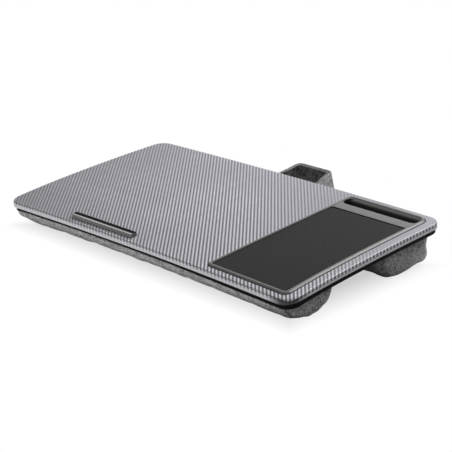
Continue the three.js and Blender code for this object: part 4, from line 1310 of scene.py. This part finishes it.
# Studio: floor, world, lamps and camera

FLOOR_SIZE = 12
FLOOR_TONE = 0.45
FLOOR_GLOW = 0.58  # the floor's own share of white to the camera, under the desk
FLOOR_MIRRORED = (-0.1, 0.5, 0.1, 0.9)  # ramp of its white in reflections, towards the front left
FOOTPRINT = (0.268, 0.15, -0.03)  # half width, half depth and middle of the desk's shadow on the floor
SHADOW_REACH = (-0.05, 0.01)  # from the footprint's edge, over which the floor turns wholly white
FRONT_LEFT = -0.7  # of X and of Y in the level direction to the front left
CEILING_FROM = (0.4, 0.9)  # upwards, over which the walls turn to the ceiling
OPENING_HEIGHT = (0.12, 0.32, 1.0, 0.0)  # ramp upwards of the bright opening
OPENING_WIDTH = (0.1, 0.8)  # ramp towards the front left
WALL_TONE = 0.05
CEILING_TONE = 0.28
OPENING_TONE = 0.9
CAMERA_AIM = (15.5 * MM, 1.1 * MM, -24 * MM)  # in the board's frame
CAMERA_AZIMUTH = math.radians(44.18)  # from the front towards the right
CAMERA_ELEVATION = math.radians(19.73)
CAMERA_DISTANCE = 1.8624
CAMERA_NEAR = 0.05
FOCAL_PIXELS = 1361.5
IMAGE_PIXELS = 452
SENSOR = 36
DESK_MIDDLE = (0, 0, 0.05)  # at which the lamps are aimed


def to_front_left(tree, spot):
    """How far a place or direction lies to the front left, from its X and Y."""
    return maths(tree, "MULTIPLY_ADD", spot[0], FRONT_LEFT, maths(tree, "MULTIPLY", spot[1], FRONT_LEFT))


def studio_floor():
    """A plain pale floor that is white to the camera and in reflections, and keeps the shadow near the desk."""
    half = FLOOR_SIZE / 2
    mesh = bpy.data.meshes.new("floor")
    corners = [(-half, -half, 0), (half, -half, 0), (half, half, 0), (-half, half, 0)]
    mesh.from_pydata(corners, [], [(0, 1, 2, 3)])
    floor = bpy.data.objects.new("floor", mesh)
    bpy.context.scene.collection.objects.link(floor)
    made = bpy.data.materials.new("floor")
    made.use_nodes = True
    tree = made.node_tree
    tree.nodes.clear()
    path = add(tree, "ShaderNodeLightPath").outputs
    spot = apart(tree, add(tree, "ShaderNodeTexCoord").outputs["Object"])
    aside = maths(tree, "SUBTRACT", maths(tree, "ABSOLUTE", spot[0]), FOOTPRINT[0])
    forward = maths(tree, "ABSOLUTE", maths(tree, "SUBTRACT", spot[1], FOOTPRINT[2]))
    away = maths(tree, "MAXIMUM", aside, maths(tree, "SUBTRACT", forward, FOOTPRINT[1]))
    seen = maths(tree, "MULTIPLY", path["Is Camera Ray"], ranged(tree, away, *SHADOW_REACH, FLOOR_GLOW, 1.0))
    white = ranged(tree, to_front_left(tree, spot), *FLOOR_MIRRORED)
    mirrored = maths(tree, "MULTIPLY", path["Is Glossy Ray"], white)
    share = maths(tree, "MAXIMUM", seen, mirrored)
    matt = add(tree, "ShaderNodeBsdfDiffuse", {"Color": grey(FLOOR_TONE)})
    glow = add(tree, "ShaderNodeEmission", {"Color": grey(1), "Strength": 1.0})
    both = add(tree, "ShaderNodeMixShader", {0: share, 1: matt.outputs[0], 2: glow.outputs[0]})
    add(tree, "ShaderNodeOutputMaterial", {0: both.outputs[0]})
    mesh.materials.append(made)


def studio_world():
    """A white surround for the camera; for light and reflections, a dim room under a pale ceiling, open and
    bright low down on the front left."""
    world = bpy.data.worlds.new("studio")
    bpy.context.scene.world = world
    world.use_nodes = True
    tree = world.node_tree
    tree.nodes.clear()
    direction = apart(tree, add(tree, "ShaderNodeTexCoord").outputs["Generated"])
    dim = mixed(tree, ranged(tree, direction[2], *CEILING_FROM), grey(WALL_TONE), grey(CEILING_TONE))
    low = ranged(tree, direction[2], *OPENING_HEIGHT)
    opening = maths(tree, "MULTIPLY", low, ranged(tree, to_front_left(tree, direction), *OPENING_WIDTH))
    room = mixed(tree, opening, dim, grey(OPENING_TONE))
    path = add(tree, "ShaderNodeLightPath").outputs
    seen = maths(tree, "MAXIMUM", path["Is Camera Ray"], path["Is Transmission Ray"])
    colour = mixed(tree, seen, room, grey(1))
    sky = add(tree, "ShaderNodeBackground", {"Color": colour, "Strength": 1.0})
    add(tree, "ShaderNodeOutputWorld", {0: sky.outputs[0]})


def softbox(name, position, size, power, glossy=True, diffuse=True, aim=DESK_MIDDLE):
    """A rectangular lamp aimed at the desk; without glossy it isn't mirrored, without diffuse it only is."""
    lamp = bpy.data.lights.new(name, "AREA")
    lamp.shape = "RECTANGLE"
    lamp.size, lamp.size_y = size
    lamp.energy = power
    obj = bpy.data.objects.new(name, lamp)
    obj.location = position
    obj.visible_camera = False
    obj.visible_glossy = glossy
    obj.visible_diffuse = diffuse
    obj.rotation_euler = (Vector(aim) - Vector(position)).to_track_quat("-Z", "Y").to_euler()
    bpy.context.scene.collection.objects.link(obj)


def studio_camera():
    """The photograph's camera: aimed from an azimuth and elevation at a point of the board, level."""
    toward = Vector((math.sin(CAMERA_AZIMUTH) * math.cos(CAMERA_ELEVATION),
                     -math.cos(CAMERA_AZIMUTH) * math.cos(CAMERA_ELEVATION), math.sin(CAMERA_ELEVATION)))
    lens = bpy.data.cameras.new("camera")
    lens.sensor_width = SENSOR
    lens.lens = FOCAL_PIXELS / IMAGE_PIXELS * SENSOR
    lens.clip_start = CAMERA_NEAR
    obj = bpy.data.objects.new("camera", lens)
    obj.location = Vector(to_row(CAMERA_AIM)) + toward * CAMERA_DISTANCE
    obj.rotation_euler = toward.to_track_quat("Z", "Y").to_euler()
    bpy.context.scene.collection.objects.link(obj)
    bpy.context.scene.camera = obj


studio_floor()
studio_world()
softbox("back_softbox", (0.05, 1.15, 1.15), size=(1.4, 1.0), power=38, glossy=False)
softbox("right_card", (1.0, 1.07, 1.09), size=(1.0, 0.8), power=6.5, diffuse=False)
softbox("left_strip", (-1.07, -0.13, 1.14), size=(0.35, 0.5), power=2.4, diffuse=False)
softbox("floor_panel", (-0.15, -0.29, 0.004), size=(1.0, 0.18), power=0.78, glossy=False, aim=(-0.15, -0.28, 1))
softbox("right_low", (1.1, -0.25, 0.12), size=(0.5, 0.2), power=0.55, glossy=False)
studio_camera()
bpy.context.scene.view_settings.view_transform = "Standard"
